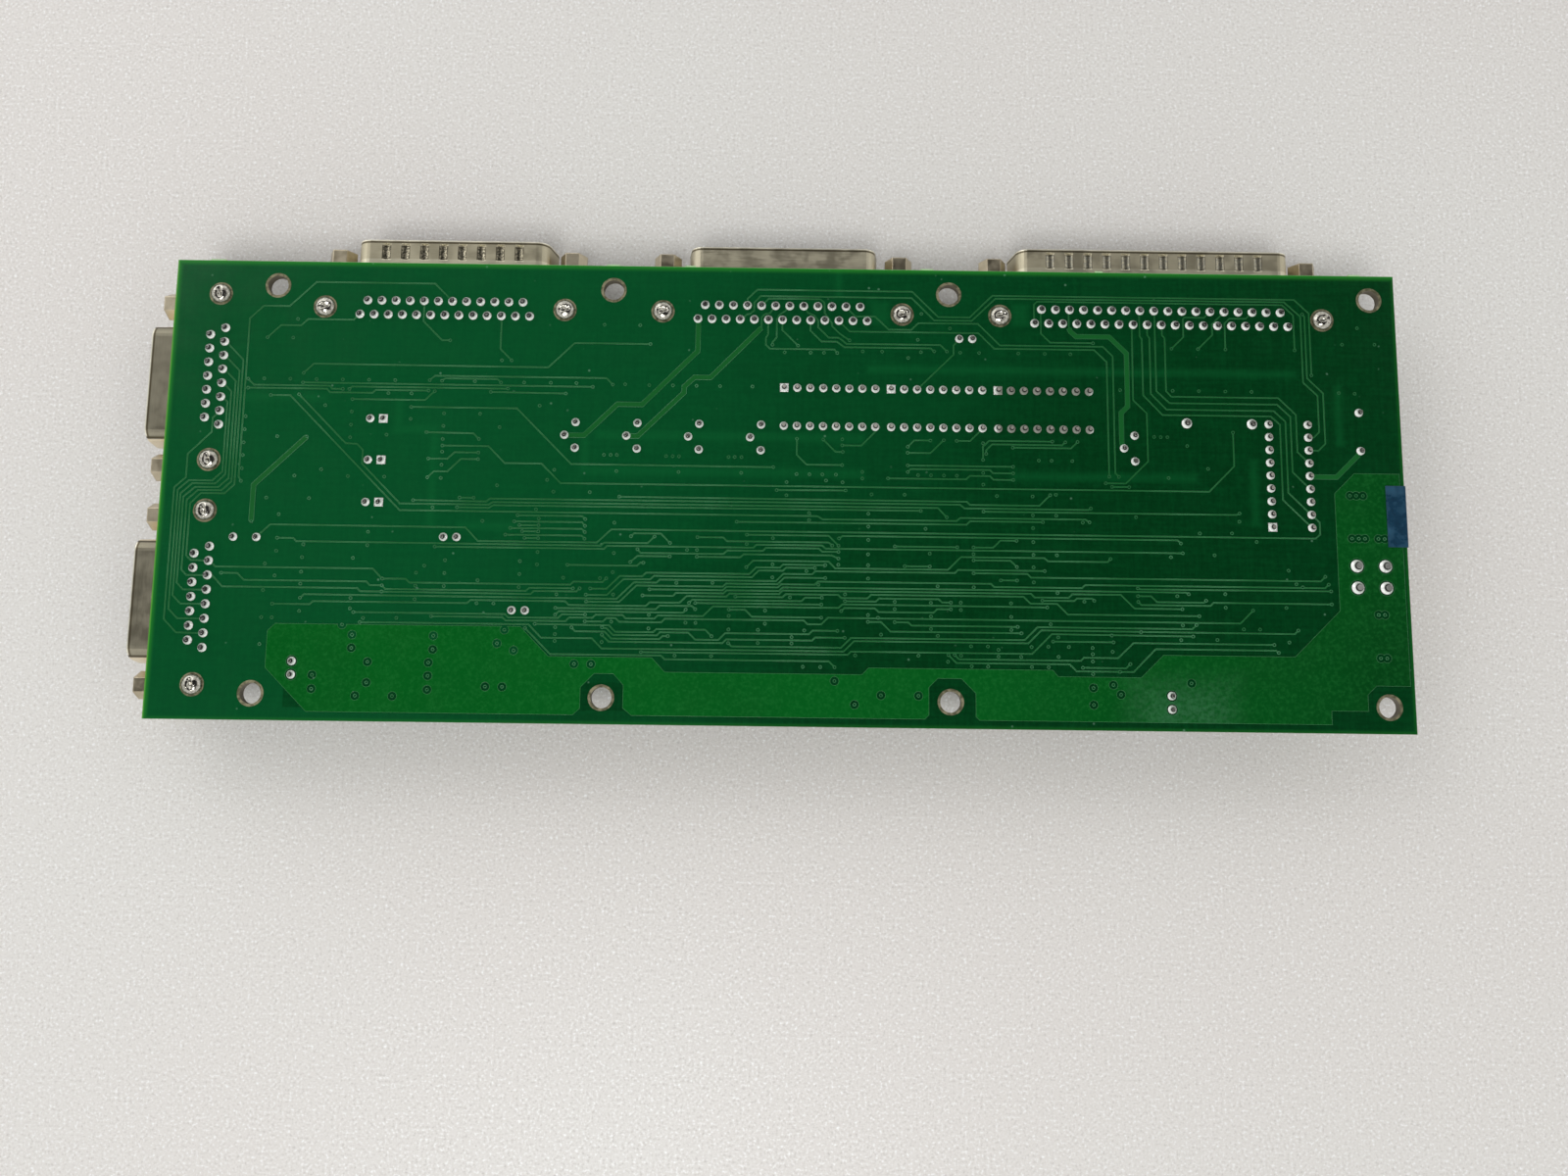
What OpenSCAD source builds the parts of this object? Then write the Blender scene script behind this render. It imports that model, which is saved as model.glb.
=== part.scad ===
// Interface board: a printed circuit board with five right-angle D-shaped connectors on two edges,
// socketed chips and leaded parts. It lies on its parts, with the solder side up.
// The origin is at the middle of the whole part, on the surface that it stands on.
// X runs along the long edge and Y towards the edge with three connectors.
// A place on the board is [u, v]: u along X from the left edge, v from the three-connector edge.

/* [Board] */
// Length of the board
board_l = 240; // [238:1:260]
// Width of the board
board_w = 90; // [89:1:110]
// Thickness of the laminate
board_t = 1.6; // [1.2:0.1:2.4]
// Diameter of the mounting holes
mount_d = 4; // [3:0.1:4.4]
// Relief of the copper under its green coat
copper_t = 0.06; // [0.04:0.01:0.12]

/* [D-shaped connectors] */
// Height of the connector flanges
flange_h = 12.6; // [12.4:0.1:13]
// Depth of a connector's axis below the board
axis_drop = 6.3; // [6.3:0.1:6.6]
// Distance between neighbouring contacts of a row
pitch = 2.77; // [2.76:0.01:2.78]
// Distance between the two rows of contacts
row_gap = 2.84; // [2.8:0.01:2.9]
// Thickness of each shell's plate
plate_t = 0.8; // [0.6:0.1:0.9]
// Thickness of a shell's drawn collar
collar_t = 0.5; // [0.4:0.05:0.6]
// Reach of a plug's collar beyond the board
plug_reach = 6.1; // [5.6:0.1:6.6]
// Reach of a socket's collar beyond the board
socket_reach = 5.9; // [5.4:0.1:6.1]
// Distance from the board edge to the middle of the soldered rows
rows_in = 9.2; // [9:0.1:9.6]
// Width across the flats of the hexagonal jackscrews
hex_w = 4.75; // [4.6:0.05:5]
// Reach of the jackscrews beyond the flange
hex_reach = 4.9; // [4.5:0.1:5.5]

/* [Leaded parts] */
// Distance between neighbouring pins of the chips, transistors and headers
lead_pitch = 2.54; // [2.5:0.01:2.58]
// Distance between a chip's two rows of pins
chip_rows = 7.62; // [7.5:0.01:7.8]
// Height of the chip sockets
chip_socket_h = 4; // [3.6:0.1:4.4]
// Length of the round capacitor cans
can_h = 11; // [9:0.5:11.5]
// Height that a soldered pin stands above the board
tip_h = 1.1; // [0.9:0.1:1.4]

/* [Surface chips] */
// Distance between neighbouring legs of the square chip
fine_pitch = 0.8; // [0.65:0.05:0.8]
// Distance between neighbouring legs of the two-sided chips
wide_pitch = 1.27; // [1.25:0.01:1.27]
// Length of the soldered foot of each leg
foot_l = 0.7; // [0.5:0.05:0.9]
// Height of the crystal's can
crystal_h = 3.5; // [2.5:0.1:4.5]

/* [Power header] */
// Distance between the header's pins along the board edge
power_pitch = 4.2; // [4:0.1:4.3]
// Distance between the header's pins across the board edge
power_rows = 5.5; // [5.3:0.1:5.7]

/* [Edge tape] */
// Length of the blue tape that is folded over the right edge
tape_l = 12; // [6:1:14]
// Thickness of the tape
tape_t = 0.15; // [0.1:0.05:0.2]

/* [Hidden] */
$fn = 40;

// Heights: z = 0 is the surface under the flanges and the power header.
axis_z = flange_h / 2;
under_z = axis_z + axis_drop;
top_z = under_z + board_t;
tip_z = top_z + tip_h;
skin_z = top_z + copper_t;

// The board's left and back edges, with the reach of the collars and the tape evened out about the origin.
// The side connectors stand a little further out than the edge.
side_out = 0.3;
left_x = (side_out + socket_reach - board_l - tape_t) / 2;
back_y = (board_w - plug_reach) / 2;

// Connectors: name, contacts, whether a plug, [u, v] at the board edge, turn, dimples along the collar.
NAME = 0;
WAYS = 1;
PLUG = 2;
AT = 3;
TURN = 4;
DIMPLES = 5;
DSUBS = [
    ["plug25", 25, true, [53, 0], 0, 8],
    ["socket25", 25, false, [119.3, 0], 0, 0],
    ["plug37", 37, true, [193.8, 0], 0, 12],
    ["socket15_upper", 15, false, [-side_out, 23.5], 90, 0],
    ["socket15_lower", 15, false, [-side_out, 66.8], 90, 0],
];

// Chips: name, pins, [u, v] of the middle, turn.
CHIPS = [
    ["dip16_left", 16, 0, [128.7, 28.15], 0],
    ["dip16_middle", 16, 0, [149.55, 28.15], 0],
    ["dip16_right", 16, 0, [170.4, 28.15], 0],
    ["dip18", 18, 0, [218, 40.55], 90],
];

// Transistors: [u, v] midway between the outer leads.
TRANSISTORS = [[79.4, 34.35], [91.4, 34.35], [103.4, 34.35], [115.4, 34.35], [188, 35.55]];

// Capacitors: [u, v], turn, radius of the can.
CAPACITORS = [
    [[56.1, 54.7], 0, 2.5],
    [[69.75, 68.65], 0, 2.5],
    [[155.3, 14], 0, 2.5],
    [[27.4, 80.1], 90, 3.15],
    [[193.8, 84.6], 90, 3.15],
];

HEADERS = [[40.85, 31.6], [40.85, 39.8], [40.85, 48.1]];
FUSE_AT = [16.9, 55.2];
DIODE_AT = [204.6, 30.4];
RESISTOR_AT = [231.9, 31.65];
POWER_AT = [232.85, 60.15];
TAPE_V = 42.3;
MOUNT_U = [20, 86, 152, 235];
MOUNT_IN = 5;

// Radii of the leads, the holes that they pass and the solder round them.
dsub_lead_r = 0.35;
chip_lead_r = 0.3;
diode_lead_r = 0.4;
power_lead_r = 0.55;
prong_r = 1.45;
lead_play = 0.15;
small_pad_r = 0.8;
dsub_pad_r = 0.85;
diode_pad_r = 1;
power_pad_r = 1.2;
prong_pad_r = 1.95;

fuse_pitch = 4.43;
diode_pitch = 12.7;
resistor_pitch = 7.62;
transistor_side = 2.1;

// ---- Connector sizes, from the distance between the two lock screws of each size ----
function locks(c) = c[WAYS] == 15 ? 33.32 : c[WAYS] == 25 ? 47.04 : 63.5;
function mouth_w(c) = locks(c) - (c[PLUG] ? 8.08 : 9.66);
function mouth_h(c) = c[PLUG] ? 8.36 : 6.9;
function reach(c) = c[PLUG] ? plug_reach : socket_reach;
function long_row(c) = (c[WAYS] + 1) / 2;
function half_block(c) = long_row(c) * pitch / 2 + 1.5;

// One row of n places along x at y
function row(n, y, gap) = [for (i = [0:n - 1]) [(i - (n - 1) / 2) * gap, y]];
near_row_y = -rows_in + row_gap / 2;
far_row_y = -rows_in - row_gap / 2;
function dsub_pins(c) = concat(row(long_row(c) - 1, near_row_y, pitch), row(long_row(c), far_row_y, pitch));
function dsub_locks(c) = row(2, -rows_in, locks(c));
function chip_pins(n) = concat(row(n / 2, chip_rows / 2, lead_pitch), row(n / 2, -chip_rows / 2, lead_pitch));
transistor_pins = [[0, lead_pitch], [-transistor_side, 0], [0, -lead_pitch]];
power_pins_xy = [for (sx = [-1, 1]) for (sy = [-1, 1]) [sx * power_rows / 2, sy * power_pitch / 2]];

// Places of a part's own points on the board, for a part at [u, v] that is turned
function spread(pts, at, turn) = [
    for (p = pts)
        at + [p[0] * cos(turn) - p[1] * sin(turn), -p[0] * sin(turn) - p[1] * cos(turn)]
];

// Every soldered lead: [u, v], lead radius, pad radius
function soldered(pts, lead_r, pad_r) = [for (p = pts) [p, lead_r, pad_r]];
LEADS = concat(
    [for (c = DSUBS) each soldered(spread(dsub_pins(c), c[AT], c[TURN]), dsub_lead_r, dsub_pad_r)],
    [for (c = CHIPS) each soldered(spread(chip_pins(c[WAYS]), c[AT], c[TURN]), chip_lead_r, small_pad_r)],
    [for (t = TRANSISTORS) each soldered(spread(transistor_pins, t, 0), chip_lead_r, small_pad_r)],
    [for (k = CAPACITORS) each soldered(spread(row(2, 0, lead_pitch), k[0], k[1]), chip_lead_r, small_pad_r)],
    [for (h = HEADERS) each soldered(spread(row(2, 0, lead_pitch), h, 0), chip_lead_r, small_pad_r)],
    soldered(spread(row(2, 0, fuse_pitch), FUSE_AT, 0), chip_lead_r, small_pad_r),
    soldered(spread(row(2, 0, diode_pitch), DIODE_AT, 0), diode_lead_r, diode_pad_r),
    soldered(spread(row(2, 0, resistor_pitch), RESISTOR_AT, 90), chip_lead_r, small_pad_r),
    soldered(spread(power_pins_xy, POWER_AT, 0), power_lead_r, power_pad_r)
);
// The first pin of each chip and header has a square pad
SQUARE_PADS = concat(
    [for (c = CHIPS) spread([chip_pins(c[WAYS])[0]], c[AT], c[TURN])[0]],
    [for (h = HEADERS) h + [lead_pitch / 2, 0]]
);
LOCKS = [for (c = DSUBS) each soldered(spread(dsub_locks(c), c[AT], c[TURN]), prong_r, prong_pad_r)];

// ---- Outlines ----
function arc(c, r, a0, a1, n = 6) = [for (i = [0:n]) let (a = a0 + (a1 - a0) * i / n) c + r * [cos(a), sin(a)]];
function mirrored(pts) = [for (i = [len(pts) - 1:-1:0]) [-pts[i][0], pts[i][1]]];

// The D: wide side down, sides that lean in by 10 degrees, rounded corners
d_lean = 10;
function d_right(w, h, r) = concat(
    arc([w / 2 - r, -h / 2 + r], r, -90, d_lean),
    arc([w / 2 - r - (h - 2 * r) * tan(d_lean), h / 2 - r], r, d_lean, 90)
);
function d_outline(w, h, r) = concat(d_right(w, h, r), mirrored(d_right(w, h, r)));
function grown_d(c, grow) = d_outline(mouth_w(c) + 2 * grow, mouth_h(c) + 2 * grow, 2.1 + grow);

function plate_right(w, h, r) = concat(
    arc([w / 2 - r, -h / 2 + r], r, -90, 0, 3),
    arc([w / 2 - r, h / 2 - r], r, 0, 90, 3)
);
function plate_outline(w, h, r) = concat(plate_right(w, h, r), mirrored(plate_right(w, h, r)));

// A track of width w through the points, mitred at each corner
function unit(v) = v / norm(v);
function left_of(v) = [-v[1], v[0]];
function side(pts, i) = left_of(unit(pts[i + 1] - pts[i]));
function mitre(pts, i) = let (a = side(pts, max(i - 1, 0)), b = side(pts, min(i, len(pts) - 2))) (a + b) / (1 + a * b);
function track_outline(pts, w) = concat(
    [for (i = [0:len(pts) - 1]) pts[i] + mitre(pts, i) * w / 2],
    [for (i = [len(pts) - 1:-1:0]) pts[i] - mitre(pts, i) * w / 2]
);

// ---- Placing ----
module on_board(at, turn = 0) translate([left_x + at[0], back_y - at[1], 0]) rotate(turn) children();
module placed(part) on_board(part[AT], part[TURN]) children();

// 2D work in board places, with v running away from the connector edge
module board_plane() translate([left_x, back_y]) mirror([0, 1]) children();

// A connector profile in x and height about the axis, extruded from y0 out to y1
module outward(y0, y1) translate([0, y1, axis_z]) rotate([90, 0, 0]) linear_extrude(y1 - y0) children();

// A profile in y and z, extruded along x about x = 0
module sideways(w) translate([-w / 2, 0, 0]) rotate([90, 0, 90]) linear_extrude(w) children();

module pin_along_y(r, y0, y1) translate([0, y0, 0]) rotate([-90, 0, 0]) cylinder(r = r, h = y1 - y0);

// A round lead from y0 at height z, back to y1 and up through the board
bend_r = 0.9;
module bent_lead(r, y0, y1, z, bend = bend_r) {
    translate([0, 0, z]) pin_along_y(r, y1 + bend, y0);
    translate([0, y1 + bend, z + bend]) rotate([90, 0, 90]) rotate(180)
        rotate_extrude(angle = 90) translate([bend, 0]) circle(r);
    translate([0, y1, z + bend]) cylinder(r = r, h = tip_z - z - bend);
}

// ---- Board, copper and solder ----
STUBS = [[6.4, 9.3], [84.5, 87], [100, 102], [146.5, 149], [181, 182.5], [231.2, 233.5]];
stub_out = 0.25;

module board() color("darkgreen")
    translate([0, 0, under_z]) linear_extrude(board_t) board_plane() difference() {
        union() {
            square([board_l, board_w]);
            for (s = STUBS) translate([s[0], -stub_out]) square([s[1] - s[0], stub_out]);
        }
        for (u = MOUNT_U) for (v = [MOUNT_IN, board_w - MOUNT_IN]) translate([u, v]) circle(d = mount_d);
        for (p = concat(LEADS, LOCKS)) translate(p[0]) circle(p[1] + lead_play);
    }

// The ground area along the front and right edges, round its holes and its bare window
GROUND = [
    [22.4, 73.1], [23.8, 71.7], [70.3, 71.7], [75.8, 77.3], [95.4, 77.3], [97.9, 80], [135.2, 80], [136.4, 78.7],
    [171.4, 78.7], [172.4, 79.9], [188.1, 79.9], [192.4, 75.6], [217.5, 75.6], [226.4, 66.7], [226.4, 43.9],
    [230.4, 39.9], [239.2, 39.9], [239.2, 81], [232.7, 81], [231, 82.7], [231, 85.8], [224, 85.8], [224, 88.4],
    [157.4, 88.4], [156.7, 87.7], [156.7, 83.3], [154, 80.6], [149.6, 80.6], [147.9, 82.3], [147.9, 87.5],
    [147.1, 88.3], [91.8, 88.3], [90.1, 86.9], [90.1, 82.6], [88.2, 80.5], [84.6, 80.5], [82.1, 83.1],
    [82.1, 87.1], [80.8, 88.3], [30.6, 88.3], [22.4, 80.1],
];

// Vias inside the ground area, each in a cleared ring
GROUND_VIAS = [
    [36.5, 71.8], [38.5, 73.7], [38.5, 76.2], [41.7, 78.8], [41.7, 82.7], [39.7, 85.2], [31.4, 81.4], [31.4, 84],
    [46.7, 85.2], [53.9, 73.7], [53.9, 76.3], [53.2, 78.8], [53.2, 81.3], [53.2, 83.9], [67.3, 72.4], [66, 75],
    [69.2, 76.3], [64.1, 83.2], [67.3, 83.2], [80.7, 78.7], [83.9, 78.7], [130, 81.3], [133.8, 85.7],
    [138.8, 83.9], [145.9, 83.9], [179, 82], [182.8, 81.4], [184.2, 83.2], [179, 85.2], [197.6, 80.9],
    [229.4, 44.3], [230.6, 44.3], [231.9, 44.3], [229.4, 52.7], [230.7, 52.7], [231.9, 52.7], [234.5, 52.7],
    [235.7, 52.7], [233.8, 67.4], [235, 67.4], [233.8, 75.7], [235, 75.7],
];

// Wide tracks
WIDE_TRACKS = [
    [[102.8, 10.8], [102.8, 17.2], [92.2, 28.1], [87.4, 28.1], [81.1, 34.4], [77.3, 34.4]],
    [[115.2, 12.3], [105.4, 22.5], [102.3, 22.5], [100.3, 24.4], [100.3, 25.6], [91.5, 34.4], [89.3, 34.4]],
    [[27.5, 35.4], [17.9, 45], [17.9, 52.1]],
    [[175.6, 11.5], [175.9, 12.2], [177, 13.2], [183.5, 13.2], [186.8, 16.5], [186.8, 27.2], [185.5, 28.5],
        [185.5, 34.5], [185.9, 35.5]],
    [[221.8, 40.7], [227, 40.7], [231.3, 36.4], [231.9, 35.5]],
];

// Thin tracks from pin to pin
PIN_TRACKS = [
    [[117.9, 7.8], [116.8, 9.3], [115.8, 9.5], [115.2, 10.2], [115.2, 12.4]],
    [[175.6, 7.8], [175.6, 11.6]],
    [[10.6, 16.6], [14.2, 20.2], [14.2, 45], [12.4, 46.8], [7.9, 46.8], [6, 48.8], [6, 58.9], [6.9, 59.8],
        [10.6, 59.9]],
    [[10.6, 19.4], [13.6, 22.4], [13.6, 44.4], [11.8, 46.2], [7.3, 46.2], [5.3, 48.1], [5.3, 61.7], [6.3, 62.7],
        [10.6, 62.7]],
    [[10.6, 22.1], [13, 24.5], [13, 43.8], [11.1, 45.6], [6.7, 45.6], [4.6, 47.5], [4.6, 64.2], [5.9, 65.5],
        [10.6, 65.5]],
    [[10.6, 24.9], [12.3, 26.6], [12.3, 43.1], [10.5, 44.9], [6.1, 44.9], [4, 46.9], [4, 66.6], [5.6, 68.2],
        [10.6, 68.2]],
    [[10.6, 27.6], [11.7, 28.7], [11.7, 42.5], [9.9, 44.3], [5.4, 44.3], [3.4, 46.2], [3.4, 69.2], [5.2, 71],
        [10.6, 71]],
    [[10.6, 30.4], [9.1, 31.9], [9.1, 34.7], [4.8, 39.1], [4.8, 43.7], [2.7, 45.7], [2.7, 71.2], [5.2, 73.7],
        [10.6, 73.8]],
    [[111.2, 10.8], [112.3, 9.6], [112.9, 9.5], [113.7, 8.8], [113.7, 7.2], [115, 5.8], [144.7, 5.8],
        [149.1, 10.3], [156.5, 10.3], [161.2, 5.7], [218.2, 5.6], [221.3, 8.5], [221.3, 21.9], [224, 24.5],
        [224, 31.8], [222.9, 32.9], [221.8, 32.9]],
    [[154.1, 14], [152.9, 15.4], [152.9, 17.2], [145.8, 24.3]],
    [[189.5, 7.8], [189.5, 13], [189.9, 13.5], [189.9, 24.9], [193.6, 28.8], [214.7, 28.8], [216.4, 30.4],
        [216.4, 45.3], [221.8, 50.7]],
    [[191, 10.6], [191, 12.7], [191.4, 13.3], [191.4, 24.6], [194.4, 27.7], [215.3, 27.7], [217.5, 29.8],
        [217.5, 43.9], [221.8, 48.2]],
    [[192.5, 7.8], [192.5, 24], [195, 26.4], [216, 26.4], [218.5, 28.8], [218.5, 39.8], [221.8, 43.1]],
    [[193.9, 10.6], [193.9, 12.7], [194.4, 13.3], [194.4, 24], [195.4, 25.1], [216.3, 25.1], [219.6, 28.4],
        [219.6, 35.8], [221.8, 38]],
    [[19.1, 55.2], [21.6, 52.7], [59, 52.8], [61.5, 55.4], [84.3, 55.4], [87, 52.8], [222.4, 52.8],
        [223.3, 52], [223.3, 49.6], [221.8, 48.2]],
];

// Thin tracks from a pin to a via
END_TRACKS = [
    [[54.4, 7.8], [50.8, 4.2], [27.5, 4.2], [22.5, 9.2], [17.5, 9.2], [14.9, 11.8], [14.9, 43.4], [15.4, 44.3]],
    [[36.4, 10.6], [35.2, 11.8], [26.3, 11.8], [25, 13.1], [21.1, 13.1], [18.6, 15.6]],
    [[48.9, 7.8], [48.9, 11.9], [52.7, 15.7], [54.3, 15.7]],
    [[64.2, 10.6], [64.2, 17.3], [66.5, 19.6]],
    [[112.4, 7.8], [112.4, 6.4], [114.3, 4.5], [144.8, 4.5], [149.9, 9.6], [156.1, 9.6], [160.6, 5.1],
        [220.2, 5.1], [223, 7.8], [223, 20.4]],
    [[115.1, 7.8], [116.6, 6.3], [126.7, 6.3], [127.5, 7], [127.6, 9.1], [129, 11.1], [129.1, 11.8],
        [130.6, 13.3], [132.5, 14.6]],
    [[119.3, 10.6], [119.3, 12.7], [122.4, 15.8]],
    [[116.5, 10.6], [116.5, 13.6], [116.1, 14.3], [116.1, 15.7], [116.9, 16.5], [129.5, 16.5], [130.1, 17.2]],
    [[120.7, 7.8], [119.8, 8.8], [118.7, 9.6], [118.2, 10.5], [118.2, 14.2], [117.4, 15.2], [117.4, 15.7]],
    [[124.8, 10.6], [124.8, 12.7], [127, 14.9], [130, 14.9], [131.5, 16], [148.4, 16], [149.1, 16.6]],
    [[123.4, 7.8], [124.3, 9.1], [125.6, 9.7], [126.3, 10.7], [126.3, 12], [128.4, 14.1], [130.4, 14.1],
        [131.9, 15.3], [150.3, 15.3], [151.6, 16.6]],
    [[130.3, 10.6], [132.5, 12.8], [157.8, 12.8], [160.9, 15.9], [180.5, 15.9], [182.9, 18.3], [182.9, 41.2]],
    [[131.7, 7.8], [133.6, 9.7], [137.5, 9.7], [140.2, 12.3], [144.6, 12.3], [146, 10.9], [157.7, 10.9],
        [162, 15.2], [182.2, 15.2], [184.1, 17.1], [184.1, 40.5], [184.8, 41.2]],
    [[168.8, 10.6], [168.8, 6.8], [169.4, 6.2], [217.8, 6.2], [219.9, 8.3], [219.9, 15.4]],
    [[170.1, 7.8], [170.1, 12.7], [171.9, 14.5], [180.3, 14.5]],
    [[221.8, 35.5], [223.7, 35.5], [225.1, 34.1], [225.1, 24], [222.1, 21], [222.1, 8.5], [221.7, 8]],
    [[188, 10.6], [187.9, 25.9], [190.5, 28.5], [190.5, 38.1], [186.1, 42.5], [182.2, 42.5]],
    [[203.5, 7.8], [202.3, 9], [198.4, 9], [198.1, 9.4], [198.1, 13], [195.7, 15.4]],
    [[206.3, 7.8], [203.8, 10.3], [203.8, 12.5], [200.9, 15.4]],
    [[211.8, 7.8], [210.5, 9.1], [207.3, 9.1], [206.3, 10.1], [206.3, 15.4]],
    [[10.6, 59.9], [11.7, 61], [41.7, 61], [43.6, 62.9]],
    [[10.6, 62.7], [11.2, 62.7], [13.3, 64.8], [39, 64.8], [39.6, 65.4], [43.6, 65.4]],
    [[137.6, 32], [137.6, 32.9], [134.9, 35.7], [131.2, 35.7]],
    [[158.5, 32], [156, 34.5], [153.4, 34.5]],
];

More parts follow.
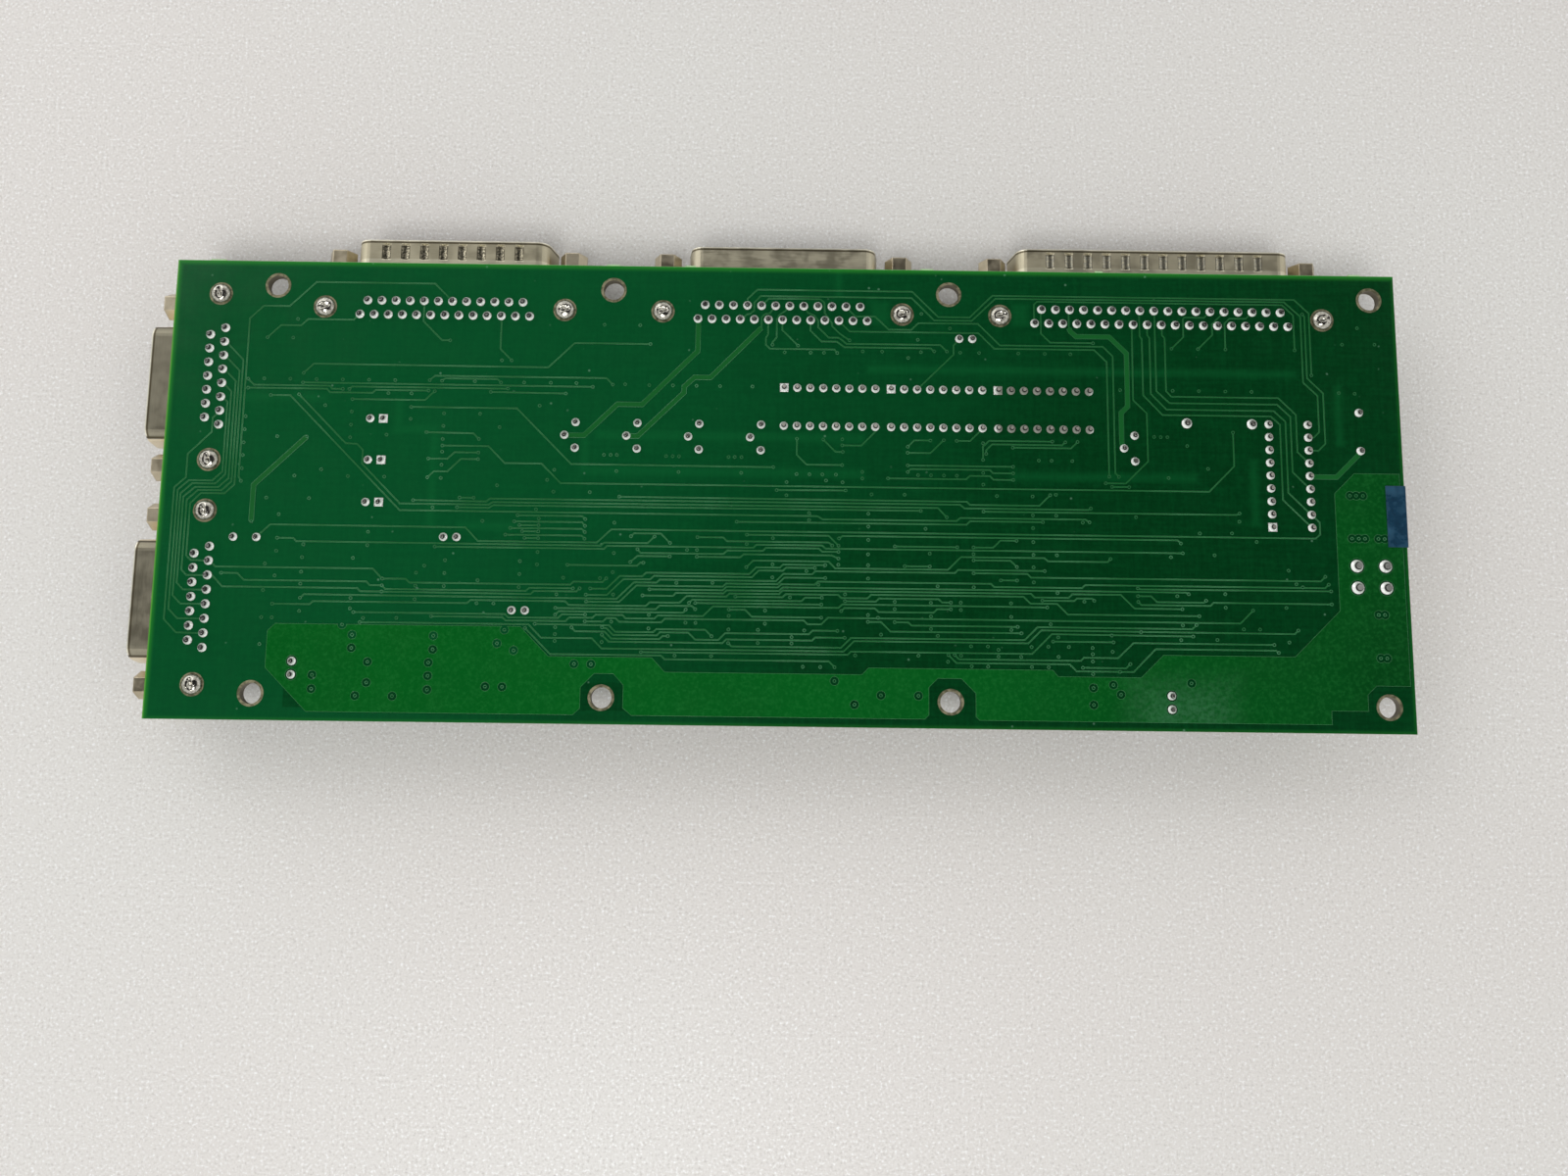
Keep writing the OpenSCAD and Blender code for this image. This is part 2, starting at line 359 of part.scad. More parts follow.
// Thin tracks from via to via
VIA_TRACKS = [
    [[26.1, 22.7], [28, 20.8], [73.7, 20.9], [78.7, 15.9], [93.5, 15.9]],
    [[15.4, 24], [16.6, 25.2], [31.3, 25.2], [31.9, 25.8], [33.9, 25.8]],
    [[35.2, 25.8], [35.7, 25.3], [66, 25.3]],
    [[26.1, 24.6], [82.5, 24.7]],
    [[15.5, 25.8], [30.8, 25.8], [31.5, 26.5], [39.7, 26.5], [40.3, 25.9], [50.6, 25.9]],
    [[20, 27.2], [23.8, 27.2], [46.2, 49.6], [126.5, 49.7], [127.5, 50.3], [153.3, 50.3], [154, 49.7],
        [178.1, 49.7], [178.9, 50.2]],
    [[25.5, 27], [35.1, 36.6], [37.3, 36.7], [38.5, 37.9], [38.5, 40.6], [46.2, 48.3], [63.3, 48.3],
        [64, 47.8], [149.7, 47.8], [151.4, 49.6]],
    [[35.9, 27.8], [50, 27.8], [51.8, 26]],
    [[50.7, 23.8], [51.7, 22.9], [85.1, 22.9], [86.4, 24.2]],
    [[53.1, 23.9], [53.7, 23.4], [63.9, 23.4], [64.6, 24.1]],
    [[62.7, 26], [77.3, 26.1]],
    [[47.4, 29.2], [67.9, 29.2], [78.8, 40.1], [117.9, 40.2]],
    [[50.6, 34.2], [59.7, 34.3], [60.8, 35.4]],
    [[53.8, 36.8], [62.7, 36.8], [66, 40.1], [73.1, 40.1], [76.9, 43.9], [202.2, 43.9], [207.2, 38.8],
        [207.2, 32.1]],
    [[51.2, 39.4], [54.9, 39.4], [56.2, 38.1], [60.8, 38.1]],
    [[51.2, 43.1], [52.4, 41.9], [55, 41.9], [57.5, 39.4], [60.8, 39.4]],
    [[48.7, 47.6], [62.8, 47.7], [63.5, 47.1], [154, 47.1], [154.8, 47.8], [178.7, 47.8], [179.2, 47.5]],
    [[57.2, 48.9], [63.4, 48.9], [64.1, 48.4], [146.4, 48.4]],
    [[57.6, 47], [60.3, 47]],
    [[68.9, 50.3], [81.3, 50.3], [81.9, 50.9]],
    [[68.3, 51.5], [81.3, 51.5], [81.9, 52.2]],
    [[67.6, 52.8], [81.3, 52.8], [81.9, 53.4]],
    [[66.7, 54.1], [81.3, 54.1], [81.9, 54.7]],
    [[69.3, 52.2], [73, 52.2]],
    [[69.9, 53.4], [73, 53.4]],
    [[70.4, 54.7], [73, 54.7]],
    [[53.3, 56.6], [85.7, 56.6], [86.3, 56], [114.3, 56], [114.9, 55.4], [127.5, 55.4], [128.1, 56], [196.7, 56]],
    [[23.1, 55.3], [26.2, 55.3], [26.8, 55.9], [85, 56], [85.7, 55.4], [94, 55.4], [95.3, 54.1]],
    [[78.8, 59.8], [92.1, 59.8], [92.7, 59.2], [93.3, 59.2]],
    [[122.4, 34.5], [122.4, 37.7], [124.3, 39.6], [131.2, 39.6]],
    [[127.5, 34.6], [129.9, 37], [131.3, 37]],
    [[118.6, 44.7], [131.9, 44.6]],
    [[88.3, 46.4], [155.3, 46.5], [155.9, 47.1], [169.3, 47.1], [171.4, 45]],
    [[111, 51], [155.2, 51], [155.9, 50.3], [169.9, 50.3]],
    [[90.8, 54.1], [91.4, 53.5], [96.5, 53.5], [98.3, 55.3]],
    [[103.5, 54.1], [108.5, 54.1], [109.2, 54.8], [128.7, 54.8], [129.4, 55.4]],
    [[113, 53.5], [128.7, 53.5], [130.6, 55.4]],
    [[92.1, 56.6], [92.7, 57.3], [108.6, 57.3], [109.3, 56.6], [116.1, 56.6], [116.7, 56], [126.8, 56],
        [127.5, 56.6], [130.6, 56.6]],
    [[90.8, 59.1], [92.1, 57.9], [98.3, 57.9]],
    [[103.5, 57.9], [111.8, 57.9], [112.5, 57.3], [129.3, 57.3], [130.6, 57.9]],
    [[113, 59.8], [114.3, 58.5], [128.7, 58.5], [130, 59.8], [151.6, 59.8], [154.1, 57.3], [170.1, 57.3],
        [170.8, 57.9], [182.2, 57.9], [182.8, 57.3]],
    [[130.7, 54], [131.4, 53.5], [195.8, 53.5], [196.4, 54.1]],
    [[148.3, 34.5], [145.2, 34.5], [143.9, 35.8]],
    [[150.9, 34.4], [148.3, 37], [143.9, 37]],
    [[158.5, 38.2], [158.5, 35.6], [159.7, 34.4], [172, 34.4]],
    [[159.1, 37], [159.1, 36.3], [160.3, 35.1], [173.9, 35.1], [174.5, 34.5]],
    [[164.3, 35.7], [175.6, 35.7], [176.9, 34.4]],
    [[143.9, 39.5], [164.3, 39.5]],
    [[143.9, 40.8], [144.5, 40.2], [159.8, 40.2], [160.4, 40.8], [164.3, 40.8]],
    [[140.1, 42.1], [155.2, 42.1], [155.9, 41.4], [159.8, 41.4], [160.5, 42.1], [164.3, 42.1]],
    [[158.5, 48.4], [207.3, 48.4], [207.9, 48.1]],
    [[141.4, 55.4], [153.4, 55.4]],
    [[156.5, 55.4], [160.3, 55.4], [161.7, 54], [164.8, 54]],
    [[156.5, 57.9], [163.6, 57.9], [164.8, 59.1]],
    [[143.3, 59.2], [148.1, 59.2]],
    [[156.5, 60.4], [166.8, 60.4], [167.5, 61.1], [223, 61.1], [223.9, 60.2]],
    [[161.7, 61.7], [164.8, 61.7]],
    [[183.4, 43.2], [186.7, 43.2]],
    [[12.9, 62.2], [16, 62.2], [17.3, 63.5], [40.6, 63.5], [41.3, 64.2], [43.6, 64.2]],
    [[43.6, 62.9], [48.1, 62.9], [48.8, 63.6], [79.5, 63.6], [80.1, 63], [85.6, 63], [86.3, 62.3]],
    [[43.6, 64.2], [44.3, 64.9], [71.1, 64.9], [71.7, 64.3], [80, 64.3]],
    [[43.6, 65.4], [72, 65.5], [72.6, 64.9], [80.7, 64.9], [81.3, 64.3]],
    [[28.2, 66.8], [28.9, 66.1], [88.4, 66.2], [91.6, 63], [95.9, 63], [96.5, 62.4], [118.7, 62.4], [120.1, 61],
        [125.6, 61], [126.2, 60.4], [152.9, 60.4], [153.5, 59.8], [170.1, 59.8]],
    [[23, 68], [30.1, 68], [30.7, 67.4], [60, 67.4], [60.6, 66.8], [78.6, 66.8], [79.3, 67.5], [94, 67.5],
        [94.7, 66.8], [100.4, 66.8], [101.7, 65.5], [109.3, 65.5], [109.9, 64.9], [119.3, 64.9], [120, 64.2],
        [167.4, 64.2], [168.1, 64.9], [174.6, 64.9], [175.3, 64.2], [184.6, 64.2], [187.2, 66.8], [196.3, 66.8]],
    [[76.8, 68.1], [95.9, 68.1], [96.6, 67.4], [102.8, 67.4], [103.4, 68]],
    [[76.8, 69.4], [77.5, 68.7], [101.1, 68.7], [101.6, 68.1]],
    [[38.5, 69.4], [67.3, 69.4], [67.9, 70], [77.4, 70], [78.1, 69.3], [82.5, 69.3]],
    [[53.3, 70], [66.8, 70], [67.4, 70.6], [78.8, 70.6], [79.5, 69.9], [83.9, 69.9], [84.5, 69.3], [89.6, 69.3],
        [90.2, 69.9], [95.7, 69.9], [96.3, 69.3], [104.9, 69.3], [106.8, 67.4], [130.7, 67.4], [131.4, 66.7],
        [170.5, 66.8]],
    [[82.5, 70.6], [85.9, 70.6], [86.6, 69.9], [88.3, 69.9], [89, 70.6], [97, 70.6], [97.7, 69.9], [124.1, 69.9],
        [124.8, 70.6], [127.4, 70.6], [128.7, 69.3], [207.3, 69.4], [209.8, 66.9]],
    [[39.8, 71.3], [71.8, 71.3], [74.3, 73.8], [83.9, 73.8], [85.8, 75.7], [131.7, 75.7], [133.7, 73.7],
        [166.8, 73.7], [169.3, 71.2], [217.6, 71.3], [218.3, 70.6]],
    [[71.2, 72], [76.1, 76.9], [97.1, 76.9], [97.8, 77.6], [128.9, 77.6], [130, 78.7]],
    [[73, 71.2], [87.1, 71.3], [88.3, 72.5], [95.5, 72.5], [96.1, 71.9], [105.4, 71.9], [106.6, 73.1]],
    [[85.8, 71.7], [86.7, 71.9], [87.9, 73.1], [96.2, 73.1], [96.8, 72.5], [102.2, 72.5], [103.5, 73.8],
        [107.9, 73.8], [109.2, 72.5], [125.1, 72.5], [125.8, 71.8], [130.5, 71.8]],
    [[80, 71.8], [80.7, 72.5], [86.3, 72.5], [87.6, 73.8], [96.7, 73.8], [97.3, 73.2], [98.3, 73.2]],
    [[85.8, 73.1], [87.1, 74.4], [108.7, 74.4], [109.4, 73.7], [125.7, 73.7], [126.3, 73.1], [131.9, 73.1]],
    [[109.8, 74.4], [110.4, 75], [131.2, 75], [133.1, 73.1], [166.1, 73.1], [168.6, 70.6], [198.1, 70.6],
        [198.9, 69.8]],
    [[93.3, 76.3], [132.5, 76.3], [133.1, 75.7], [167.5, 75.7], [171.3, 71.9], [198.2, 72]],
    [[83.3, 64.3], [86.4, 64.3], [88.9, 61.8], [93.2, 61.8], [93.9, 61.1], [113.6, 61.1], [114.9, 59.8],
        [119.4, 59.8], [120, 59.2], [128.1, 59.2]],
    [[82.5, 65.5], [86.5, 65.5], [89.6, 62.4], [94.7, 62.4], [95.4, 61.7], [114.1, 61.7], [115.4, 60.4],
        [120, 60.4], [120.6, 59.8], [126.1, 59.8]],
    [[82.6, 66.8], [88.9, 66.8], [92.1, 63.6], [108.6, 63.6], [109.2, 63], [119, 63], [120.3, 61.7],
        [128.1, 61.7]],
    [[94.6, 64.3], [108.6, 64.3], [109.3, 63.6], [119.1, 63.6], [119.7, 63], [126.1, 63], [126.7, 62.4],
        [159.8, 62.4], [160.4, 63], [177.2, 63], [177.8, 62.4], [223.8, 62.4], [224.5, 61.7]],
    [[93.3, 65.5], [99.1, 65.5], [99.7, 64.9], [108.7, 64.9], [109.3, 64.3], [119.3, 64.3], [120, 63.6],
        [197.2, 63.6], [197.6, 63.9]],
    [[102.2, 66.8], [102.8, 66.2], [123.6, 66.2], [124.3, 65.5], [127.5, 65.5]],
    [[103.4, 66.8], [127.4, 66.8]],
    [[109.8, 68], [112.9, 68], [114.2, 69.3], [127.4, 69.3]],
    [[111, 65.5], [120, 65.5], [120.6, 64.9], [130.6, 64.9], [131.2, 65.5], [136.2, 65.5], [136.9, 64.8],
        [166, 64.8], [167.3, 66.1], [172.4, 66.1], [174.4, 68.1], [199.5, 68.1]],
    [[131.9, 66.1], [137.8, 66.1], [138.4, 65.5], [149.8, 65.5], [150.4, 66.1], [152.1, 66.1]],
    [[131.2, 68], [131.8, 67.4], [137.6, 67.4], [138.3, 68.1], [148.8, 68.1], [149.5, 67.4], [152.1, 67.4]],
    [[136.3, 70], [138.8, 70], [140.6, 71.8], [165.5, 71.8]],
    [[141.4, 70], [144, 70], [144.6, 70.6], [164.8, 70.6]],
    [[169.6, 65.5], [175.7, 65.5], [176.2, 65], [179.1, 65], [179.5, 65.4]],
    [[171.5, 73.3], [183, 73.3]],
    [[151.6, 76.1], [153.1, 77.6], [174.6, 77.6], [175.9, 78.9], [186.7, 78.9], [191, 74.5], [213.9, 74.5],
        [214.4, 74.9]],
    [[152.8, 76.1], [153.6, 76.9], [176.7, 76.9], [177.3, 76.3], [183.8, 76.3], [186.8, 73.4], [213.6, 73.4]],
    [[177.1, 78.2], [185.3, 78.2], [186.1, 77.4]],
    [[187.9, 62.9], [188.4, 63.1], [224.9, 63]],
    [[187.9, 64.4], [190.4, 64.4], [191.5, 65.5], [200.4, 65.5], [200.9, 65.1]],
    [[187.9, 65.5], [188.5, 66.1], [201.7, 66.1], [202.3, 65.5], [224.9, 65.5]],
];

// Vias that no thin track of this side ends on
LONE_VIAS = [
    [24.3, 11.8], [23.6, 15.6], [64.6, 19.6], [84.4, 12.1], [91.4, 12.1], [72.3, 28.6], [53.8, 30.4], [60.8, 30.4],
    [47.4, 31.6], [42.8, 26.5], [47.3, 26.5], [30.7, 29.1], [35.9, 30.3], [27.5, 35.4], [17.9, 52.1],
    [18.5, 23.9], [23.6, 23.9], [28.7, 23.9], [33.8, 23.9], [38.9, 23.9], [44, 23.9], [59.5, 23.9], [69.1, 24],
    [74.3, 24], [79.3, 24], [88.8, 24.1], [93.5, 24.2], [98.1, 24.2], [102.7, 24.2], [107.3, 24.2], [113.6, 24.2],
    [15.4, 31.5], [15.4, 34.1], [15.4, 36.7], [15.4, 39.2], [15.4, 41.8], [21.8, 35.4], [35.9, 32.9], [35.9, 35.4],
    [42.9, 34.8], [25.6, 43.1], [30.7, 41.8], [35.9, 43.1], [42.9, 43.1], [20.5, 47.5], [28.7, 47.5], [23.1, 50.7],
    [40.4, 53.9], [28.2, 56.5], [40.4, 56.5], [23.1, 57.8], [21.1, 60.3], [28.1, 59], [37.8, 59], [28.1, 61.8],
    [23.1, 62.6], [28.1, 64.1], [21.1, 65.4], [37.8, 66.7], [37.8, 68.7], [28.2, 69.3], [21.1, 70.6],
    [23.1, 70.6], [21.1, 75.7], [40.4, 70.5], [119.8, 17.2], [124.9, 17.2], [127.5, 17.2], [135.1, 16.8],
    [138.9, 16.8], [146.5, 16.8], [154.2, 16.8], [157.9, 16.8], [165.6, 16.8], [170.8, 16.8], [175.8, 16.8],
    [146.6, 9], [152.2, 11.9], [145.9, 14.3], [185.4, 23.9], [195.7, 23.9], [200.8, 23.9],
    [206, 23.9], [211.1, 23.9], [228.2, 23.9], [231.3, 24], [232.4, 10.7], [229.3, 14.1], [235.7, 14],
    [53.8, 32.9], [64.7, 33], [53.8, 35.5], [53.8, 38], [53.8, 40.6], [53.8, 43.2], [64.7, 44.5], [75.6, 41.3],
    [74.3, 43.3], [75.6, 45.6], [82.6, 45.6], [72.4, 49.1], [52.5, 49], [62.2, 51.5], [73, 50.9], [87.5, 51.5],
    [87.6, 57.4], [73, 57.4], [69.7, 59.2], [73, 59.8], [55.4, 59.2], [51.5, 60.3], [50, 61.7], [55.4, 61.7],
    [69.7, 61.7], [87.5, 61.1], [85.1, 38.2], [86.4, 38.2], [87.6, 38.2], [97.1, 38.3], [98.4, 38.3], [99.6, 38.3],
    [109.2, 38.3], [110.4, 38.3], [111.7, 38.3], [87.6, 41.4], [99.6, 41.4], [111.7, 41.4], [131.2, 34.5],
    [122.4, 41.5], [124.9, 41.5], [127.4, 41.5], [130, 41.5], [135.1, 40.9], [135.1, 42.2], [128.1, 42.7],
    [120.5, 43.1], [131.3, 43], [120.5, 45.7], [124.9, 49.1], [124.9, 50.5], [113, 55.3], [118, 54.1],
    [118, 59.2], [118, 61.7], [101.6, 56.6], [103.5, 56.6], [124.5, 60.4],
    [130.6, 59.1], [144, 18], [158.5, 34.9], [158.5, 40.8], [158.5, 43.1], [145.9, 41.4], [148.4, 41.4],
    [150.9, 41.4], [153.4, 41.4], [136.9, 45.3], [143.3, 45.3], [161.1, 45.3], [168, 45.3], [172.5, 44.9],
    [136.3, 49.1], [136.3, 51.6], [136.3, 54.2], [136.3, 57], [136.3, 59.1], [136.3, 61.7], [147.3, 51.9],
    [168, 49], [172.5, 49], [168, 51.5], [168, 54.2], [168, 56.7], [172.5, 56.7], [168, 59.1], [168, 62],
    [177.6, 50.3], [148.1, 56.7], [156.5, 56.7], [169.3, 38.2], [171.8, 38.2], [175.8, 38.2], [191.8, 33.2],
    [193.1, 33.2], [194.4, 33.2], [198.2, 34.9], [194.4, 41.3], [202.1, 39.4], [187.9, 49.1], [207.8, 49.7],
    [200.1, 52.1], [206.3, 52], [211, 53.6], [194.4, 56.8], [202.8, 56.3], [216.9, 59.1], [61.8, 63],
    [50, 64.2], [55.4, 64.2], [69.7, 64.2], [50, 66.8], [61.8, 67.4], [65, 67.4], [46.7, 70.4], [78.1, 62.3],
    [85.1, 62.3], [76.9, 65.5], [87.7, 65.4], [76.9, 71.8], [76.9, 73.1], [76.9, 74.4], [87.5, 70.6],
    [85.8, 74.5], [99.7, 63], [106.6, 62.9], [94.6, 69.2], [101.6, 70.6], [103.5, 70.6], [109.8, 69.2],
    [116.7, 68.1], [116.7, 70.6], [94.6, 71.8], [109.8, 71.8], [115.4, 71.8], [124.2, 71.8], [121.8, 73.1],
    [115.4, 74.3], [121.8, 74.3], [99.7, 76.9], [106.6, 76.9], [121.4, 65.5], [131.9, 64.8], [126.8, 63],
    [133.9, 76.4], [124, 78.7], [127.3, 78.7], [149.6, 63], [156.5, 63.1], [172.5, 64], [141.4, 66.1],
    [141.4, 67.5], [148.3, 66.2], [154, 66.1], [154, 67.5], [163.6, 66.1], [136.3, 68.7], [138.2, 69.2],
    [148.3, 68.8], [163.6, 68.7], [163.6, 71.2], [148.3, 71.2], [149.6, 72.5], [138.8, 72.4], [171.1, 70],
    [172.5, 72.5], [155.9, 74.4], [159.1, 74.4], [167.4, 74.4], [170.6, 74.3], [174.5, 74.3], [179, 74.4],
    [179, 75.6], [179, 77], [179, 79.4], [172.5, 76.2], [165.4, 76.3], [161.1, 76.3], [161.1, 75],
    [154, 76.2], [145.9, 76.3], [151.5, 77.4], [156, 78.2], [159.1, 78.2], [167.4, 78.2], [170.6, 78.2],
    [177.6, 65.6], [195.4, 64.3], [204.6, 63.8], [204.6, 66.4], [216.2, 66.3], [218.3, 61.7], [219.5, 62.3],
    [196.3, 69.9], [195.9, 72.7], [202.8, 72.6], [207.9, 70.5], [211, 70.5], [188.3, 71.3], [182.7, 72],
    [216.5, 72.9], [182.8, 75.1], [184.1, 78.9],
];

wide_w = 1;
thin_w = 0.28;
via_r = 0.34;
via_dimple_r = 0.18;
clear_r = 0.8;
pad_gap = 0.25;
function first(t) = t[0];
function last(t) = t[len(t) - 1];
VIAS = concat(
    LONE_VIAS, GROUND_VIAS,
    [for (t = END_TRACKS) last(t)],
    [for (t = VIA_TRACKS) first(t)],
    [for (t = VIA_TRACKS) last(t)]
);

square_pad_w = 2 * small_pad_r + 0.06;
module pads_clear(play) {
    for (p = LEADS) translate(p[0]) circle(p[2] + play);
    for (p = SQUARE_PADS) translate(p) square(square_pad_w + 2 * play, center = true);
}

module ground_copper() color("forestgreen")
    translate([0, 0, top_z]) linear_extrude(copper_t) board_plane() difference() {
        polygon(GROUND);
        for (p = GROUND_VIAS) translate(p) circle(clear_r);
        pads_clear(pad_gap);
    }

module tracks() color("limegreen")
    translate([0, 0, top_z]) linear_extrude(copper_t) board_plane() difference() {
        union() {
            for (t = WIDE_TRACKS) polygon(track_outline(t, wide_w));
            for (t = concat(PIN_TRACKS, END_TRACKS, VIA_TRACKS)) polygon(track_outline(t, thin_w));
            for (p = VIAS) translate(p) circle(via_r);
        }
        for (p = VIAS) translate(p) circle(via_dimple_r);
        pads_clear(0);
    }

// A joint fills the hole round its lead and climbs the lead above the board.
// Each joint keeps the true form of a fillet that wets both the pad and the lead.
joint_h = 0.85;
joint_foot = 0.12;
module joint(lead_r, pad_r) rotate_extrude() polygon([
    [lead_r, -board_t],
    [lead_r + lead_play, -board_t],
    [lead_r + lead_play, 0],
    [pad_r, 0],
    [pad_r, joint_foot],
    [lead_r + (pad_r - lead_r) * 0.62, joint_h * 0.45],
    [lead_r + (pad_r - lead_r) * 0.3, joint_h * 0.8],
    [lead_r, joint_h],
]);

module pin_solder() color("gainsboro") {
    for (p = LEADS) on_board(p[0]) translate([0, 0, top_z]) joint(p[1], p[2]);
    for (p = SQUARE_PADS) on_board(p) translate([0, 0, top_z]) linear_extrude(joint_foot) difference() {
        square(square_pad_w, center = true);
        circle(chip_lead_r);
    }
}

module lock_solder() color("silver")
    for (p = LOCKS) on_board(p[0]) translate([0, 0, top_z]) joint(p[1], p[2]);

// ---- D-shaped connectors, each drawn with its flange face at y = 0 and its mouth towards +Y ----
flange_over = 5.9;
screw_hole_r = 1.6;
rear_grow_w = 0.2;
block_y = -6.6;
deck_y = -12;
sleeve_y = -5.2;

module flange_plate(c, opening) difference() {
    polygon(plate_outline(locks(c) + flange_over, flange_h, 1.2));
    polygon(opening);
    for (p = row(2, 0, locks(c))) translate(p) circle(screw_hole_r);
}

// Dimples pressed into both long walls of a plug's collar, which grip the mating socket
dimple_pitch = 3.8;
dimple_w = 1.7;
dimple_l = 3.3;
dimple_deep = 0.3;
dimple_r = (pow(dimple_w / 2, 2) + pow(dimple_deep, 2)) / (2 * dimple_deep);
module dimple(face) translate([0, plug_reach - 2.4, face]) intersection() {
    translate([0, 0, dimple_r - dimple_deep]) pin_along_y(dimple_r, -dimple_l, dimple_l);
    translate([0, 0, -dimple_deep]) linear_extrude(dimple_deep) square([dimple_w, dimple_l], center = true);
}
module dimples(c, face) for (p = row(c[DIMPLES], 0, dimple_pitch)) for (up = [0, 1])
    translate([p[0], 0, axis_z]) mirror([0, 0, 1 - up]) dimple(face);

module front_shell(c) color("tan") {
    outward(-plate_t, 0) flange_plate(c, grown_d(c, 0));
    difference() {
        union() {
            outward(0, reach(c)) difference() {
                polygon(grown_d(c, collar_t));
                polygon(grown_d(c, 0));
            }
            if (c[PLUG]) dimples(c, mouth_h(c) / 2);
        }
        if (c[PLUG]) dimples(c, mouth_h(c) / 2 + collar_t);
    }
}

module rear_shell(c) color("tan") {
    outward(-2 * plate_t, -plate_t) flange_plate(c, grown_d(c, rear_grow_w));
    outward(sleeve_y, -2 * plate_t) difference() {
        polygon(grown_d(c, rear_grow_w + 0.4));
        polygon(grown_d(c, rear_grow_w));
    }
}

// Contacts: a plug has pins, a socket has sleeves. Both have round tails bent up into the board.
pin_r = 0.5;
sleeve_r = 0.9;
sleeve_bore_r = 0.55;
step_y = -2;
function contact_r(c) = c[PLUG] ? pin_r : sleeve_r;
function contact_y(c) = c[PLUG] ? 5 : 4.6;
function face_y(c) = c[PLUG] ? 0.6 : 5.5;
function mating_rows(c) = concat(row(long_row(c) - 1, row_gap / 2, pitch), row(long_row(c), -row_gap / 2, pitch));

module contact_holes(c, r) for (p = mating_rows(c)) translate(p) circle(r);

module insulator(c) color("dimgray") {
    outward(-plate_t, c[PLUG] ? face_y(c) : contact_y(c)) difference() {
        polygon(grown_d(c, 0));
        contact_holes(c, contact_r(c));
    }
    if (!c[PLUG]) outward(contact_y(c), face_y(c)) difference() {
        polygon(grown_d(c, 0));
        contact_holes(c, sleeve_bore_r + 0.1);
    }
    outward(step_y, -plate_t) difference() {
        polygon(grown_d(c, rear_grow_w));
        contact_holes(c, contact_r(c));
    }
    outward(sleeve_y - 0.6, step_y) difference() {
        polygon(grown_d(c, rear_grow_w));
        contact_holes(c, dsub_lead_r);
    }
    outward(block_y, sleeve_y - 0.6) difference() {
        translate([-half_block(c), -axis_z + 1.6]) square([2 * half_block(c), under_z - 1.6]);
        contact_holes(c, dsub_lead_r);
    }
    translate([0, 0, under_z - 1.4]) linear_extrude(1.4) difference() {
        translate([-half_block(c), deck_y]) square([2 * half_block(c), block_y - deck_y]);
        for (p = dsub_pins(c)) translate(p) circle(dsub_lead_r);
    }
    for (s = [-1, 1]) translate([s * (half_block(c) - 0.5), 0, 0]) sideways(1)
        polygon([[block_y, 3], [block_y, under_z - 1.4], [deck_y, under_z - 1.4], [deck_y, under_z - 3]]);
}

module contact(c, x, z, tail_y) translate([x, 0, 0]) {
    bent_lead(dsub_lead_r, step_y, tail_y, z);
    translate([0, 0, z]) if (c[PLUG]) {
        pin_along_y(pin_r, step_y, contact_y(c));
        translate([0, contact_y(c), 0]) rotate([-90, 0, 0]) cylinder(r1 = pin_r, r2 = pin_r / 2, h = 0.4);
    } else difference() {
        pin_along_y(sleeve_r, step_y, contact_y(c));
        pin_along_y(sleeve_bore_r, 0.4, contact_y(c) + 1);
    }
}

module contacts(c) color("gold") {
    for (p = row(long_row(c) - 1, 0, pitch)) contact(c, p[0], axis_z + row_gap / 2, near_row_y);
    for (p = row(long_row(c), 0, pitch)) contact(c, p[0], axis_z - row_gap / 2, far_row_y);
}

// Angle brackets carry the flange on the board, take the screws and hold the board locks.
bracket_w = 6;
bracket_t = 1;
boss_y = -5.6;
module angle_bracket() {
    difference() {
        union() {
            sideways(bracket_w) polygon([
                [-2 * plate_t, 2], [-2 * plate_t, under_z], [deck_y - 0.4, under_z],
                [deck_y - 0.4, under_z - bracket_t], [-2 * plate_t - bracket_t, under_z - bracket_t],
                [-2 * plate_t - bracket_t, 2],
            ]);
            translate([0, 0, axis_z]) pin_along_y(2.3, boss_y, -2 * plate_t - bracket_t);
        }
        translate([0, 0, axis_z]) pin_along_y(1.4, boss_y - 1, 0);
        translate([0, -rows_in, 0]) cylinder(r = prong_r, h = top_z);
    }
}

module angle_brackets() color("silver")
    for (c = DSUBS) placed(c) for (p = row(2, 0, locks(c))) translate(p) angle_bracket();

// Hexagonal jackscrews with a threaded stud behind and a threaded hole in front
screw_r = 1.4;
tapped_r = 1.15;
module jackscrew() translate([0, 0, axis_z]) {
    difference() {
        rotate([-90, 0, 0]) cylinder(d = hex_w / cos(30), h = hex_reach, $fn = 6);
        pin_along_y(tapped_r, 0.5, hex_reach + 1);
    }
    pin_along_y(screw_r, boss_y, 0);
}

module jackscrews() color("lightgray")
    for (c = DSUBS) placed(c) for (p = row(2, 0, locks(c))) translate(p) jackscrew();

// Split prongs that snap through the board, with a head under the bracket's foot
slit_w = 0.7;
module board_lock() translate([0, -rows_in, 0]) {
    translate([0, 0, under_z - bracket_t - 0.8]) cylinder(r = 2.3, h = 0.8);
    difference() {
        union() {
            translate([0, 0, under_z - bracket_t]) cylinder(r = prong_r, h = bracket_t + board_t + 0.7);
            translate([0, 0, top_z + 0.7]) cylinder(r1 = prong_r, r2 = 1, h = 0.5);
        }
        translate([-3, -slit_w / 2, under_z]) cube([6, slit_w, 5]);
    }
}

module board_locks() color("gray")
    for (c = DSUBS) placed(c) for (p = row(2, 0, locks(c))) translate(p) board_lock();

